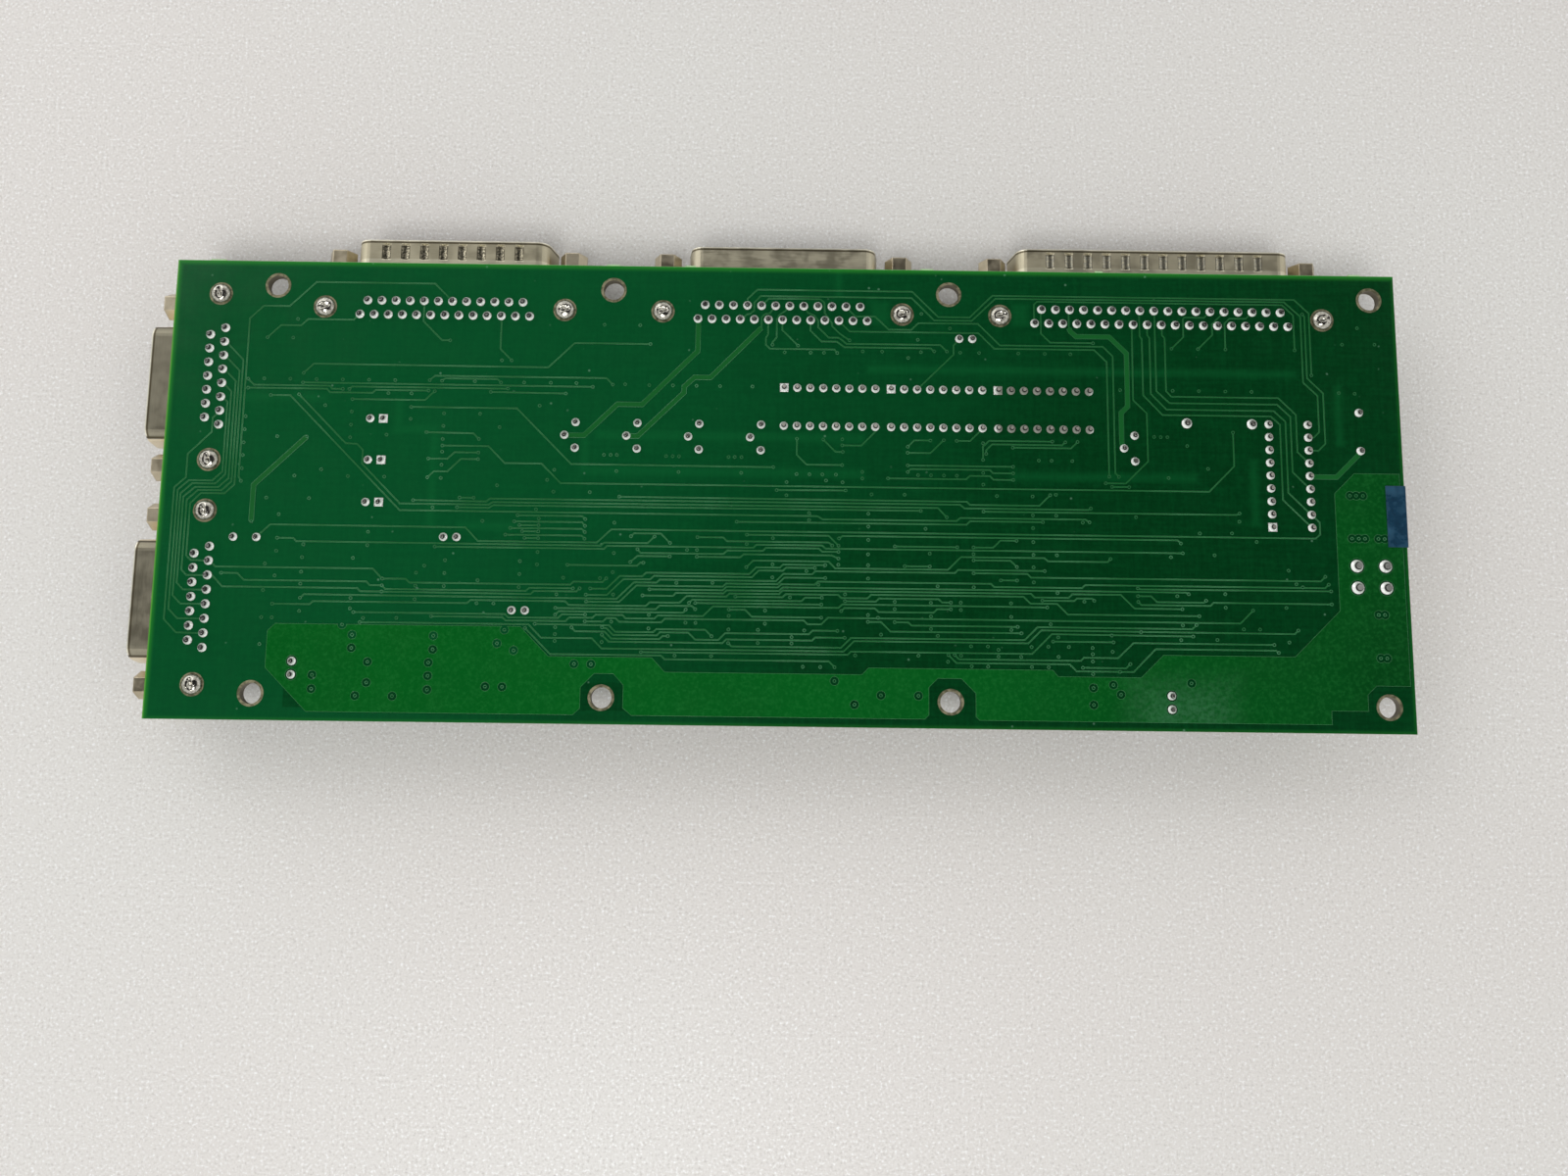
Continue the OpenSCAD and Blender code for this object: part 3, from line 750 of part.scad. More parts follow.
// ---- Chips in sockets ----
socket_over = 2.54;
cavity_w = 1.1;
cavity_l = 1.5;
module chip_socket(n) color("black") difference() {
    translate([0, 0, under_z - chip_socket_h]) linear_extrude(chip_socket_h) difference() {
        square([n / 2 * lead_pitch, chip_rows + socket_over], center = true);
        for (s = [-1, 1]) translate([s * (n * lead_pitch / 8 - 0.2), 0])
            square([n * lead_pitch / 4 - 3.2, chip_rows - 2.8], center = true);
        translate([-n / 4 * lead_pitch, 0]) circle(1.1);
        for (p = chip_pins(n)) translate(p) circle(chip_lead_r);
    }
    for (p = chip_pins(n)) translate([p[0], p[1], under_z - chip_socket_h / 2 - 0.5])
        cube([cavity_w, cavity_l, chip_socket_h - 1 + 0.01], center = true);
}

// A forked spring contact: two leaves that grip the chip's leg, and a round tail
leaf_t = 0.3;
leg_t = 0.25;
module socket_contact() {
    for (s = [-1, 1]) translate([0, s * (leg_t + leaf_t) / 2, under_z - 2.2])
        cube([cavity_w - 0.1, leaf_t, 2.4], center = true);
    translate([0, 0, under_z - 1.15]) cube([cavity_w - 0.1, leg_t + 2 * leaf_t, 0.3], center = true);
    translate([0, 0, under_z - 1.1]) cylinder(r = chip_lead_r, h = tip_z - under_z + 1.1);
}

module socket_contacts() color("goldenrod")
    for (c = CHIPS) placed(c) for (p = chip_pins(c[WAYS])) translate(p) socket_contact();

// A moulded chip with sloped walls, a notch and bent legs
chip_h = 3.3;
chip_w = 6.35;
chip_gap = 0.4;
module chip(n) color([0.12, 0.12, 0.13]) {
    body_z = under_z - chip_socket_h - chip_gap - chip_h;
    mid_z = body_z + chip_h / 2;
    difference() {
        translate([0, 0, mid_z]) sideways(n / 2 * lead_pitch - 0.7) polygon([
            [-chip_w / 2, 0], [-chip_w / 2 + 0.25, -chip_h / 2], [chip_w / 2 - 0.25, -chip_h / 2],
            [chip_w / 2, 0], [chip_w / 2 - 0.25, chip_h / 2], [-chip_w / 2 + 0.25, chip_h / 2],
        ]);
        translate([-n / 4 * lead_pitch + 0.35, 0, body_z - 1]) cylinder(r = 0.8, h = 1.6);
    }
    for (p = chip_pins(n)) translate([p[0], 0, 0]) mirror([0, p[1] < 0 ? 1 : 0]) {
        translate([0, 0, mid_z]) sideways(1.3) polygon([
            [chip_w / 2 - 0.4, -leg_t / 2], [chip_rows / 2 + leg_t / 2, -leg_t / 2],
            [chip_rows / 2 + leg_t / 2, chip_h / 2 + 0.2], [chip_rows / 2 - leg_t / 2, chip_h / 2 + 0.2],
            [chip_rows / 2 - leg_t / 2, leg_t / 2], [chip_w / 2 - 0.4, leg_t / 2],
        ]);
        translate([0, chip_rows / 2, mid_z + chip_h / 2 + 1.6]) cube([0.5, leg_t, 2.8], center = true);
    }
}

// ---- Transistors, capacitors, fuse, diode and resistor ----
stand = 2;
module flat_lead(run, z0, w) sideways(w) polygon(track_outline(
    [[run[0], z0], [run[0], z0 + 0.3], [run[1], under_z - 0.5], [run[1], under_z + 0.2]], 0.45));
module riser(r, z0 = under_z) translate([0, 0, z0]) cylinder(r = r, h = tip_z - z0);

module transistor() color("black") {
    body_z = under_z - stand - 4.8;
    translate([0, 0, body_z]) linear_extrude(4.8) intersection() {
        translate([-0.4, 0]) circle(2.4);
        translate([-3, -3]) square([4.2, 6]);
    }
    for (s = [-1, 1]) flat_lead([s * lead_pitch / 2, s * lead_pitch], under_z - stand - 0.2, 0.4);
    rotate(90) flat_lead([0, transistor_side], under_z - stand - 0.2, 0.4);
    for (p = transistor_pins) translate(p) riser(chip_lead_r);
}

// A rolled can with a rounded end, a crimped groove and a sealed base
module capacitor(r) color("midnightblue") {
    base_z = under_z - 0.4;
    translate([0, 0, base_z]) rotate_extrude() polygon(concat(
        [[0, 0], [r - 0.5, 0], [r, -0.4], [r, -1.5]],
        arc([r + 0.15, -1.9], 0.4, 110, 250, 4),
        [[r, -2.3]],
        arc([r - 0.6, -can_h + 0.6], 0.6, 0, -90, 4),
        [[0, -can_h]]
    ));
    for (p = row(2, 0, lead_pitch)) translate(p) riser(chip_lead_r, base_z - 0.2);
}

module resettable_fuse() color("orange") {
    disc_r = 3.7;
    translate([0, 0, under_z - 1.6 - disc_r]) {
        pin_along_y(disc_r - 0.4, -1.6, 1.6);
        pin_along_y(disc_r, -1.1, 1.1);
    }
    for (p = row(2, 0, fuse_pitch)) translate(p) riser(chip_lead_r, under_z - 3);
}

module axial_lead(r, start, end_x, z, bend) for (turn = [90, -90]) rotate(turn) bent_lead(r, -start, -end_x, z, bend);

module diode() color("black") {
    z = under_z - 2.4;
    translate([0, 0, z]) rotate([0, 90, 0]) rotate_extrude() polygon([
        [0, -4], [1.6, -4], [2, -3.6], [2, 3.6], [1.6, 4], [0, 4],
    ]);
    axial_lead(diode_lead_r, 3.9, diode_pitch / 2, z, bend_r);
}

module resistor() color("burlywood") {
    z = under_z - 1.4;
    translate([0, 0, z]) rotate([0, 90, 0]) rotate_extrude() polygon([
        [0, -3], [0.8, -3], [1.2, -2.7], [1.2, -1.9], [0.95, -1.5],
        [0.95, 1.5], [1.2, 1.9], [1.2, 2.7], [0.8, 3], [0, 3],
    ]);
    axial_lead(chip_lead_r, 2.9, resistor_pitch / 2, z, 0.6);
}

// ---- Headers ----
module jumper_header() color("black") {
    block_h = 2.5;
    translate([0, 0, under_z - block_h]) linear_extrude(block_h) for (p = row(2, 0, lead_pitch))
        translate(p) polygon([
            [-1.27, -0.8], [-0.8, -1.25], [0.8, -1.25], [1.27, -0.8],
            [1.27, 0.8], [0.8, 1.25], [-0.8, 1.25], [-1.27, 0.8],
        ]);
    for (p = row(2, 0, lead_pitch)) translate(p) {
        riser(chip_lead_r, under_z - 1);
        translate([-0.32, -0.32, under_z - block_h - 6]) cube([0.64, 0.64, block_h + 6]);
    }
}

// A shrouded header with one cell for each pin and a latch ramp on its outer wall
power_size = [10.9, 9.6];
cell = [4.3, 3.5];
power_floor = 2.6;
module power_header() color("ivory") difference() {
    union() {
        linear_extrude(under_z) difference() {
            square(power_size, center = true);
            for (p = power_pins_xy) translate(p) circle(power_lead_r);
        }
        translate([power_size[0] / 2, 0, 0]) rotate([90, 0, 0]) linear_extrude(3.2, center = true)
            polygon([[0, 2.5], [0.6, 3.4], [0.6, 4.2], [0, 4.2]]);
    }
    for (p = power_pins_xy) translate([p[0], p[1], -1]) linear_extrude(under_z - power_floor + 1)
        polygon(p[1] > 0 ? plate_outline(cell[0], cell[1], 0.01) : [
            [-cell[0] / 2, -cell[1] / 2 + 1], [-cell[0] / 2 + 1, -cell[1] / 2], [cell[0] / 2 - 1, -cell[1] / 2],
            [cell[0] / 2, -cell[1] / 2 + 1], [cell[0] / 2, cell[1] / 2], [-cell[0] / 2, cell[1] / 2],
        ]);
}

module power_pins() color("silver") for (p = power_pins_xy) translate(p) {
    translate([0, 0, 2]) cylinder(r1 = power_lead_r / 2, r2 = power_lead_r, h = 0.6);
    riser(power_lead_r, 2.6);
}

// ---- Tape over the edge ----
tape_in = 3.7;
module edge_tape() color("royalblue")
    translate([left_x + board_l, back_y - TAPE_V - tape_l / 2, 0]) rotate(90) sideways(tape_l) mirror([1, 0]) polygon([
        [-tape_in, skin_z], [-tape_in, skin_z + tape_t], [tape_t, skin_z + tape_t],
        [tape_t, under_z - tape_t], [-tape_in, under_z - tape_t], [-tape_in, under_z],
        [0, under_z], [0, skin_z],
    ]);

// ---- Surface chips of the component side, with a regulator and a crystal can ----
// Kind of chip: legs along a side, sides with legs, leg pitch, leg width, body [length, width, height].
SQUARE = [16, 4, fine_pitch, 0.35, [14, 14, 1.6]];
WIDE = [10, 2, wide_pitch, 0.42, [12.8, 7.5, 2.3]];
NARROW = [8, 2, wide_pitch, 0.42, [9.9, 3.9, 1.5]];
REGULATOR = [2, 1, 4.57, 0.75, [6.5, 6.1, 2.2]];
SURFACE_CHIPS = [
    [[151, 60], SQUARE],
    [[88, 55.5], WIDE], [[108, 55.5], WIDE], [[128, 55.5], WIDE], [[174.5, 57], WIDE], [[197, 57], WIDE],
    [[92, 72], NARROW], [[112, 72], NARROW], [[132, 72], NARROW], [[174.5, 71.5], NARROW], [[197, 71.5], NARROW],
    [[46, 78], REGULATOR],
];
CRYSTAL_AT = [151, 75];
crystal_size = [11, 4.6];
surface_play = 0.1;
surface_leg_t = 0.15;
function surface_mid(size) = under_z - surface_play - size[2] / 2;

// Sloped walls with a straight band in the middle, where the legs come out
wall_slope = 0.25;
half_band = 0.15;
function sloped_walls(w, h) = [
    [-w / 2 + wall_slope, -h / 2], [w / 2 - wall_slope, -h / 2], [w / 2, -half_band], [w / 2, half_band],
    [w / 2 - wall_slope, h / 2], [-w / 2 + wall_slope, h / 2], [-w / 2, half_band], [-w / 2, -half_band],
];

mark_in = 1.3;
mark_deep = 0.15;
module surface_body(size) translate([0, 0, surface_mid(size)]) difference() {
    intersection() {
        sideways(size[0]) polygon(sloped_walls(size[1], size[2]));
        rotate(90) sideways(size[1]) polygon(sloped_walls(size[0], size[2]));
    }
    translate([mark_in - size[0] / 2, mark_in - size[1] / 2, -size[2] / 2 - 1]) cylinder(r = 0.5, h = 1 + mark_deep);
}

module surface_leg(w, y, mid_z) sideways(w) polygon([
    [y, mid_z - surface_leg_t / 2], [y + 0.36, mid_z - surface_leg_t / 2], [y + 0.5, under_z - surface_leg_t],
    [y + 0.5 + foot_l, under_z - surface_leg_t], [y + 0.5 + foot_l, under_z], [y + 0.34, under_z],
    [y + 0.2, mid_z + surface_leg_t / 2], [y, mid_z + surface_leg_t / 2],
]);

module surface_legs(kind) {
    turns = kind[1] == 4 ? [0, 90, 180, 270] : kind[1] == 2 ? [0, 180] : [180];
    for (turn = turns) rotate(turn) for (p = row(kind[0], 0, kind[2])) translate([p[0], 0, 0])
        surface_leg(kind[3], kind[4][turn % 180 == 0 ? 1 : 0] / 2, surface_mid(kind[4]));
}

module surface_chips() color([0.1, 0.1, 0.11]) for (c = SURFACE_CHIPS) on_board(c[0]) surface_body(c[1][4]);

// The regulator's tab lies on the board, behind its body.
tab_size = [5.3, 1.4, 0.5];
module can_outline(grow) {
    for (s = [-1, 1]) translate([s * (crystal_size[0] - crystal_size[1]) / 2, 0]) circle(crystal_size[1] / 2 + grow);
    square([crystal_size[0] - crystal_size[1], crystal_size[1] + 2 * grow], center = true);
}

module surface_metal() color("lightgray") {
    for (c = SURFACE_CHIPS) on_board(c[0]) surface_legs(c[1]);
    on_board(SURFACE_CHIPS[len(SURFACE_CHIPS) - 1][0])
        translate([-tab_size[0] / 2, REGULATOR[4][1] / 2, under_z - tab_size[2]]) cube(tab_size);
    on_board(CRYSTAL_AT) {
        translate([0, 0, under_z - 0.4]) linear_extrude(0.4) can_outline(0.35);
        translate([0, 0, under_z - crystal_h]) linear_extrude(crystal_h - 0.4) can_outline(0);
    }
}

// ---- Small surface parts: a row beside each of two connectors, and one at each chip and transistor ----
passive_row_v = 21.8;
PASSIVES = concat(
    [for (i = [0:5]) [18.5 + 5.1 * i, passive_row_v]],
    [for (i = [0:6]) [185.4 + 5.1 * i, passive_row_v]],
    [for (c = SURFACE_CHIPS) c[0] - [c[1][4][0] / 2 + 2.6, 0]],
    [for (t = TRANSISTORS) t + [0, 8.5]]
);
module chip_passives() color("sienna")
    for (p = PASSIVES) on_board(p) {
        translate([0, 0, under_z - 0.3]) cube([1.2, 1.4, 0.6], center = true);
        for (s = [-1, 1]) translate([0, s * 0.85, under_z - 0.325]) cube([1.25, 0.4, 0.65], center = true);
    }

board();
ground_copper();
tracks();
pin_solder();
lock_solder();
for (c = DSUBS) {
    placed(c) front_shell(c);
    placed(c) rear_shell(c);
    placed(c) insulator(c);
    placed(c) contacts(c);
}
angle_brackets();
jackscrews();
board_locks();
for (c = CHIPS) {
    placed(c) chip_socket(c[WAYS]);
    placed(c) chip(c[WAYS]);
}
socket_contacts();
for (i = [1:len(TRANSISTORS)])
    on_board(TRANSISTORS[i - 1]) transistor();
for (i = [1:len(CAPACITORS)])
    on_board(CAPACITORS[i - 1][0], CAPACITORS[i - 1][1]) capacitor(CAPACITORS[i - 1][2]);
on_board(FUSE_AT) resettable_fuse();
on_board(DIODE_AT) diode();
on_board(RESISTOR_AT, 90) resistor();
for (i = [1:len(HEADERS)])
    on_board(HEADERS[i - 1]) jumper_header();
on_board(POWER_AT) power_header();
on_board(POWER_AT) power_pins();
edge_tape();
surface_chips();
surface_metal();
chip_passives();
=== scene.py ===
"""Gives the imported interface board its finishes, models its bare rings, board locks and domes of solder, and lays
it solder side up on a pale sheet.

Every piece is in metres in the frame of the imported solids. X runs along the long edge, Y out of the three
connectors of that edge, and Z up through the solder side. Places on the board are written as U and V, in
millimetres from its left and top edges as it is seen from the solder side.
"""

import math
from functools import reduce

import bmesh
import bpy
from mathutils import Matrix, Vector


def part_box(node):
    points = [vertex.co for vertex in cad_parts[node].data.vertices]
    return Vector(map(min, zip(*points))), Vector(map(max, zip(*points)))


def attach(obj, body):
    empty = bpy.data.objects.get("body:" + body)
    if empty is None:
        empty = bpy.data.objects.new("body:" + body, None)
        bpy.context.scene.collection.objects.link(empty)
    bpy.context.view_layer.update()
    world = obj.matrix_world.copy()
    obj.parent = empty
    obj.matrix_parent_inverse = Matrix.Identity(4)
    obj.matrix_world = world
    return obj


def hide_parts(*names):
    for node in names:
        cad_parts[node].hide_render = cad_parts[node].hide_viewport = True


bl_info = {
    "name": "Interface board",
    "version": (1, 0, 0),
    "blender": (4, 5, 0),
    "location": "3D View > Sidebar > Board",
    "description": "Finishes, bare metal trim and stage of an interface board",
    "category": "Object",
}

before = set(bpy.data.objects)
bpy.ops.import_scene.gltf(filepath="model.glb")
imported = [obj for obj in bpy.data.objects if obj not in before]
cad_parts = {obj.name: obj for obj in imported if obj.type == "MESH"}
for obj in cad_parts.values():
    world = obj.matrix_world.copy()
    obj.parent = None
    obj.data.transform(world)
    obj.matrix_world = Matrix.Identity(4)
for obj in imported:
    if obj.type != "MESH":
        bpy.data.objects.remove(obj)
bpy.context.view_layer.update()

# ---- Places and sizes that the operators share, in millimetres ----
MM = 0.001
BOARD_L, BOARD_W = 240, 90
U_ZERO, V_ZERO = -116.975, 41.95
UNDER_Z, TOP_Z, JOINT_Z = 12.6, 14.2, 15.05
MOUNT_U, MOUNT_V = (20, 86, 152, 235), (5, 85)

# Connector: place along its edge, spacing of its locks, on the left edge or not
CONNECTORS = {
    "plug25": (53, 47.04, False),
    "socket25": (119.3, 47.04, False),
    "plug37": (193.8, 63.5, False),
    "socket15_upper": (23.5, 33.32, True),
    "socket15_lower": (66.8, 33.32, True),
}
# How far the flange of a connector on the left edge reaches past each end of its collar
LEFT_FLANGE_OVER = 7.4

# Board locks: distance from the edge, the flanged head under the board, the prongs through it
LOCK_IN, LOCK_IN_LEFT = 9.2, 8.9
HEAD_Z, HEAD_R, HEAD_H, PRONG_R = 10.8, 2.3, 0.8, 1.45

# Domes of solder over them: size, dents along the slit (place and depth), and how far a dent spreads
DOME_R, DOME_H = 1.93, 1.19
DENTS = ((-0.6, 0.5), (0.1, 0.62), (0.75, 0.42))
DENT_SLANT, DENT_SPREAD = 0.08, 0.7

# Dimples of the plugs' collars: number and tone on each (painted shade of the recess), pitch, V of their middle,
# half sizes
DIMPLES = {"plug25": (8, (92, 88, 76)), "plug37": (12, (150, 148, 136))}
DIMPLE_PITCH, DIMPLE_V, DIMPLE_HALF = 3.8, -3.6, (0.9, 1.4)

# Paler belt of a plug's collar beside the board: from V, to V
PALE_BELT = (-2.2, -0.9)

# Rows of socketed chips: V of the three in line, U of the turned one, distance from it at which the legs begin
CHIP_ROW_V, TURNED_CHIP_U, LEGS_OUT = 28.15, 218, 3.2

# Round capacitors: U, V, radius; lower end of the sleeve and of its stripe, half width of the stripe
CANS = ((56.1, 54.7, 2.5), (69.75, 68.65, 2.5), (155.3, 14, 2.5), (27.4, 80.1, 3.15), (193.8, 84.6, 3.15))
SLEEVE_Z, STRIPE_Z, STRIPE_HALF = 1.35, 1.8, 0.9

# Diode and resistor: middle, and the resistor's bands by distance from it and tone
DIODE_U, RESISTOR_V = 204.6, 31.65
RESISTOR_BANDS = ((-2.3, (110, 60, 30)), (-1, (30, 30, 30)), (0, (190, 50, 30)), (2.3, (190, 150, 60)))
BAND_HALF = 0.28

# Small ceramic parts: half length without and with their ends; rows of them, from U, to U, at V
CERAMIC_HALF, PASSIVE_HALF = 0.65, 1.2
PASSIVE_ROWS = (
    (10, 220, 21.8),
    (130, 150, 60),
    (70, 125, 55.5),
    (160, 200, 57),
    (80, 130, 72),
    (160, 200, 71.5),
    (30, 50, 78),
    (70, 120, 42.85),
    (180, 195, 44.05),
)

# Ground area of the solder side, where gaps in it look darker: from U, to U, from V downwards
GROUND = ((26, 225, 82), (26, 62, 74.5))

# Patches of dried flux, on the ground area, where its pale sheen is a painted reflection, and on the joints of a
# chip: U and V of the middle, half sizes
FLUX_SHEEN = (196, 86.5, 6, 2)
DULL_JOINTS = (170.4, CHIP_ROW_V, 9, 5)

# Copper of the component side that shows through as paler bands: U and V of its middle, half sizes
HIDDEN_BANDS = (
    (178, 20.3, 42, 0.7),
    (45, 31, 0.7, 3.5),
    (48.5, 33.6, 4, 0.7),
    (52.2, 43, 0.7, 9.5),
    (63, 52.5, 5.5, 0.7),
    (109.5, 34.2, 26, 0.8),
    (108, 41.3, 27.5, 0.8),
    (182, 41.3, 18, 0.8),
    (81.3, 38, 0.7, 4),
    (228, 28.5, 0.7, 6),
    (130.3, 3, 0.7, 3),
    (211, 44, 0.7, 6.5),
    (138.5, 9, 1.6, 2.2),
    (166, 9, 1.6, 2.2),
    (22, 27.5, 9, 0.6),
)

# Painted shade on the sides of tinned leads, which mirror nothing bright
LEAD_SHADE = (40, 40, 36)

# Room light by the height of a direction: from, to, strength below, strength above; strength that the camera sees
ROOM_FALL = (0.6, 0.83, 1.0, 0.03)
ROOM_SEEN = 0.75

# Lights: place and size, in metres
WINDOW_AT, WINDOW_SIZE = (-0.86, 0.86, 0.72), 1.1
NEAR_AT, NEAR_SIZE = (-0.15, -0.75, 1.25), 0.6

# Camera: place across the floor, in metres, turn in degrees, width of the sensor
CAMERA_X, CAMERA_Y = 0.002466, -0.049115
CAMERA_TURN = (7.116, -0.302, 0.716)
SENSOR_W = 36


def tone(red, green, blue):
    """A colour of 0 to 255 in each part, as it would be picked on a screen, in the linear values of a shader."""
    parts = [c / 255 for c in (red, green, blue)]
    return tuple(c / 12.92 if c <= 0.04045 else ((c + 0.055) / 1.055) ** 2.4 for c in parts)


def on_board(u, v, z=TOP_Z):
    """The frame point of a place on the board, in metres."""
    return Vector((U_ZERO + u, V_ZERO - v, z)) * MM


def lock_places():
    """U and V of the ten board locks."""
    places = []
    for middle, spacing, left in CONNECTORS.values():
        for side in (-1, 1):
            along = middle + side * spacing / 2
            places.append((LOCK_IN_LEFT, along) if left else (along, LOCK_IN))
    return places


# ---- Shader maths ----
class Wire:
    """An output socket. Sums and products of wires and numbers add the Math nodes that work them out."""

    def __init__(self, finish, socket):
        self.finish, self.socket = finish, socket

    def math(self, operation, *values):
        """The result of a Math node on those values."""
        return self.finish.node("ShaderNodeMath", {"operation": operation}, dict(enumerate(values)))

    def __add__(self, other):
        return self.math("ADD", self, other)

    __radd__ = __add__

    def __sub__(self, other):
        return self.math("SUBTRACT", self, other)

    def __rsub__(self, other):
        return self.math("SUBTRACT", other, self)

    def __mul__(self, other):
        return self.math("MULTIPLY", self, other)

    __rmul__ = __mul__

    def __mod__(self, other):
        return self.math("MODULO", self, other)

    def __gt__(self, other):
        return self.math("GREATER_THAN", self, other)

    def __lt__(self, other):
        return self.math("LESS_THAN", self, other)

    def __abs__(self):
        return self.math("ABSOLUTE", self)

    def least(self, other):
        """The smaller of the two, which joins two distances."""
        return self.math("MINIMUM", self, other)

    def most(self, other):
        """The larger of the two, which joins two masks."""
        return self.math("MAXIMUM", self, other)

    def ramp(self, start, end, low=0, high=1):
        """low before start, high after end, and a smooth step between; start may be the larger."""
        return self.finish.node(
            "ShaderNodeMapRange",
            {"interpolation_type": "SMOOTHSTEP"},
            {0: self, 1: start, 2: end, 3: low, 4: high},
        )


class Finish:
    """A node material on the Principled shader, with patterns on Object coordinates in millimetres."""

    def __init__(self, name, **constants):
        self.material = bpy.data.materials.new(name)
        self.material.use_nodes = True
        self.tree = self.material.node_tree
        self.shader = self.tree.nodes["Principled BSDF"]
        for socket, value in constants.items():
            self.set(socket.replace("_", " "), value)
        self._mm = None

    def _plug(self, socket, value):
        if isinstance(value, Wire):
            self.tree.links.new(value.socket, socket)
        elif socket.type == "RGBA" and len(value) == 3:
            socket.default_value = (*value, 1)
        else:
            socket.default_value = value

    def node(self, kind, settings=None, values=None, out=0):
        """Adds a node, sets it and its sockets, and gives the wire of one output."""
        made = self.tree.nodes.new(kind)
        for key, value in (settings or {}).items():
            setattr(made, key, value)
        for key, value in (values or {}).items():
            self._plug(made.inputs[key], value)
        return Wire(self, made.outputs[out])

    def set(self, socket, value):
        """Gives a socket of the Principled shader a constant or a wire."""
        self._plug(self.shader.inputs[socket], value)

    def made(self, socket):
        """The wire that a socket of the Principled shader has already."""
        return Wire(self, self.shader.inputs[socket].links[0].from_socket)

    def mm(self):
        """The Object coordinates in millimetres."""
        if self._mm is None:
            place = self.node("ShaderNodeTexCoord", out="Object")
            self._mm = self.node("ShaderNodeVectorMath", {"operation": "SCALE"}, {0: place, "Scale": 1 / MM})
        return self._mm

    def axes(self, vector=None):
        """The three parts of a vector, the place in millimetres unless another is given."""
        split = self.node("ShaderNodeSeparateXYZ", values={0: vector or self.mm()})
        return [Wire(self, split.socket.node.outputs[i]) for i in range(3)]

    def facing(self):
        """The parts of the surface's own direction."""
        return self.axes(self.node("ShaderNodeNewGeometry", out="Normal"))

    def stretched(self, x, y, z):
        """The place in millimetres with each axis scaled, for streaks and fibres."""
        return self.node("ShaderNodeVectorMath", {"operation": "MULTIPLY"}, {0: self.mm(), 1: (x, y, z)})

    def noise(self, per_mm, detail=2, roughness=0.5, place=None):
        """Cloudy noise with that many features per millimetre, about 0.2 to 0.8."""
        values = {"Vector": place or self.mm(), "Scale": per_mm, "Detail": detail, "Roughness": roughness}
        return self.node("ShaderNodeTexNoise", values=values)

    def cells(self, per_mm):
        """Distance from the middle of the nearest of scattered cells."""
        return self.node("ShaderNodeTexVoronoi", values={"Vector": self.mm(), "Scale": per_mm})

    def mix(self, amount, first, second):
        """From the first colour at 0 to the second at 1."""
        return self.node("ShaderNodeMix", {"data_type": "RGBA"}, {0: amount, 6: first, 7: second}, out=2)

    def mix_number(self, amount, first, second):
        """From the first number at 0 to the second at 1."""
        return self.node("ShaderNodeMix", {"data_type": "FLOAT"}, {0: amount, 2: first, 3: second})

    def bump(self, height, depth_mm, strength=1.0, normal=None):
        """Raises the surface by a height wire times a depth in millimetres."""
        values = {"Height": height, "Distance": depth_mm * MM, "Strength": strength}
        if normal:
            values["Normal"] = normal
        return self.node("ShaderNodeBump", values=values)

    def soft_edges(self, radius_mm):
        """The surface's direction as if its edges were rounded."""
        return self.node("ShaderNodeBevel", {"samples": 6}, {"Radius": radius_mm * MM})

    def rim(self, radius_mm):
        """1 on the edges of a flat area, falling to 0 at a distance."""
        flat = self.node("ShaderNodeNewGeometry", out="Normal")
        both = {0: self.soft_edges(radius_mm), 1: flat}
        return self.node("ShaderNodeVectorMath", {"operation": "DOT_PRODUCT"}, both, out="Value").ramp(0.99, 0.8)

    def wear_on(self, *names):
        """Puts the material on every slot of those nodes."""
        for name in names:
            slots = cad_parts[name].data.materials
            slots.clear()
            slots.append(self.material)


# ---- Finishes of the board ----
def board_uv(f):
    """The place on the board, as U and V."""
    x, y, _ = f.axes()
    return x - U_ZERO, V_ZERO - y


def off_box(u, v, mid_u, mid_v, half_u, half_v):
    """Distance from a box on the board, below 0 inside it."""
    return (abs(u - mid_u) - half_u).most(abs(v - mid_v) - half_v)


def inside_ground(u, v):
    """Distance from the border of the ground area, below 0 outside it."""
    return reduce(Wire.most, [(v - top).least(u - start).least(end - u) for start, end, top in GROUND])


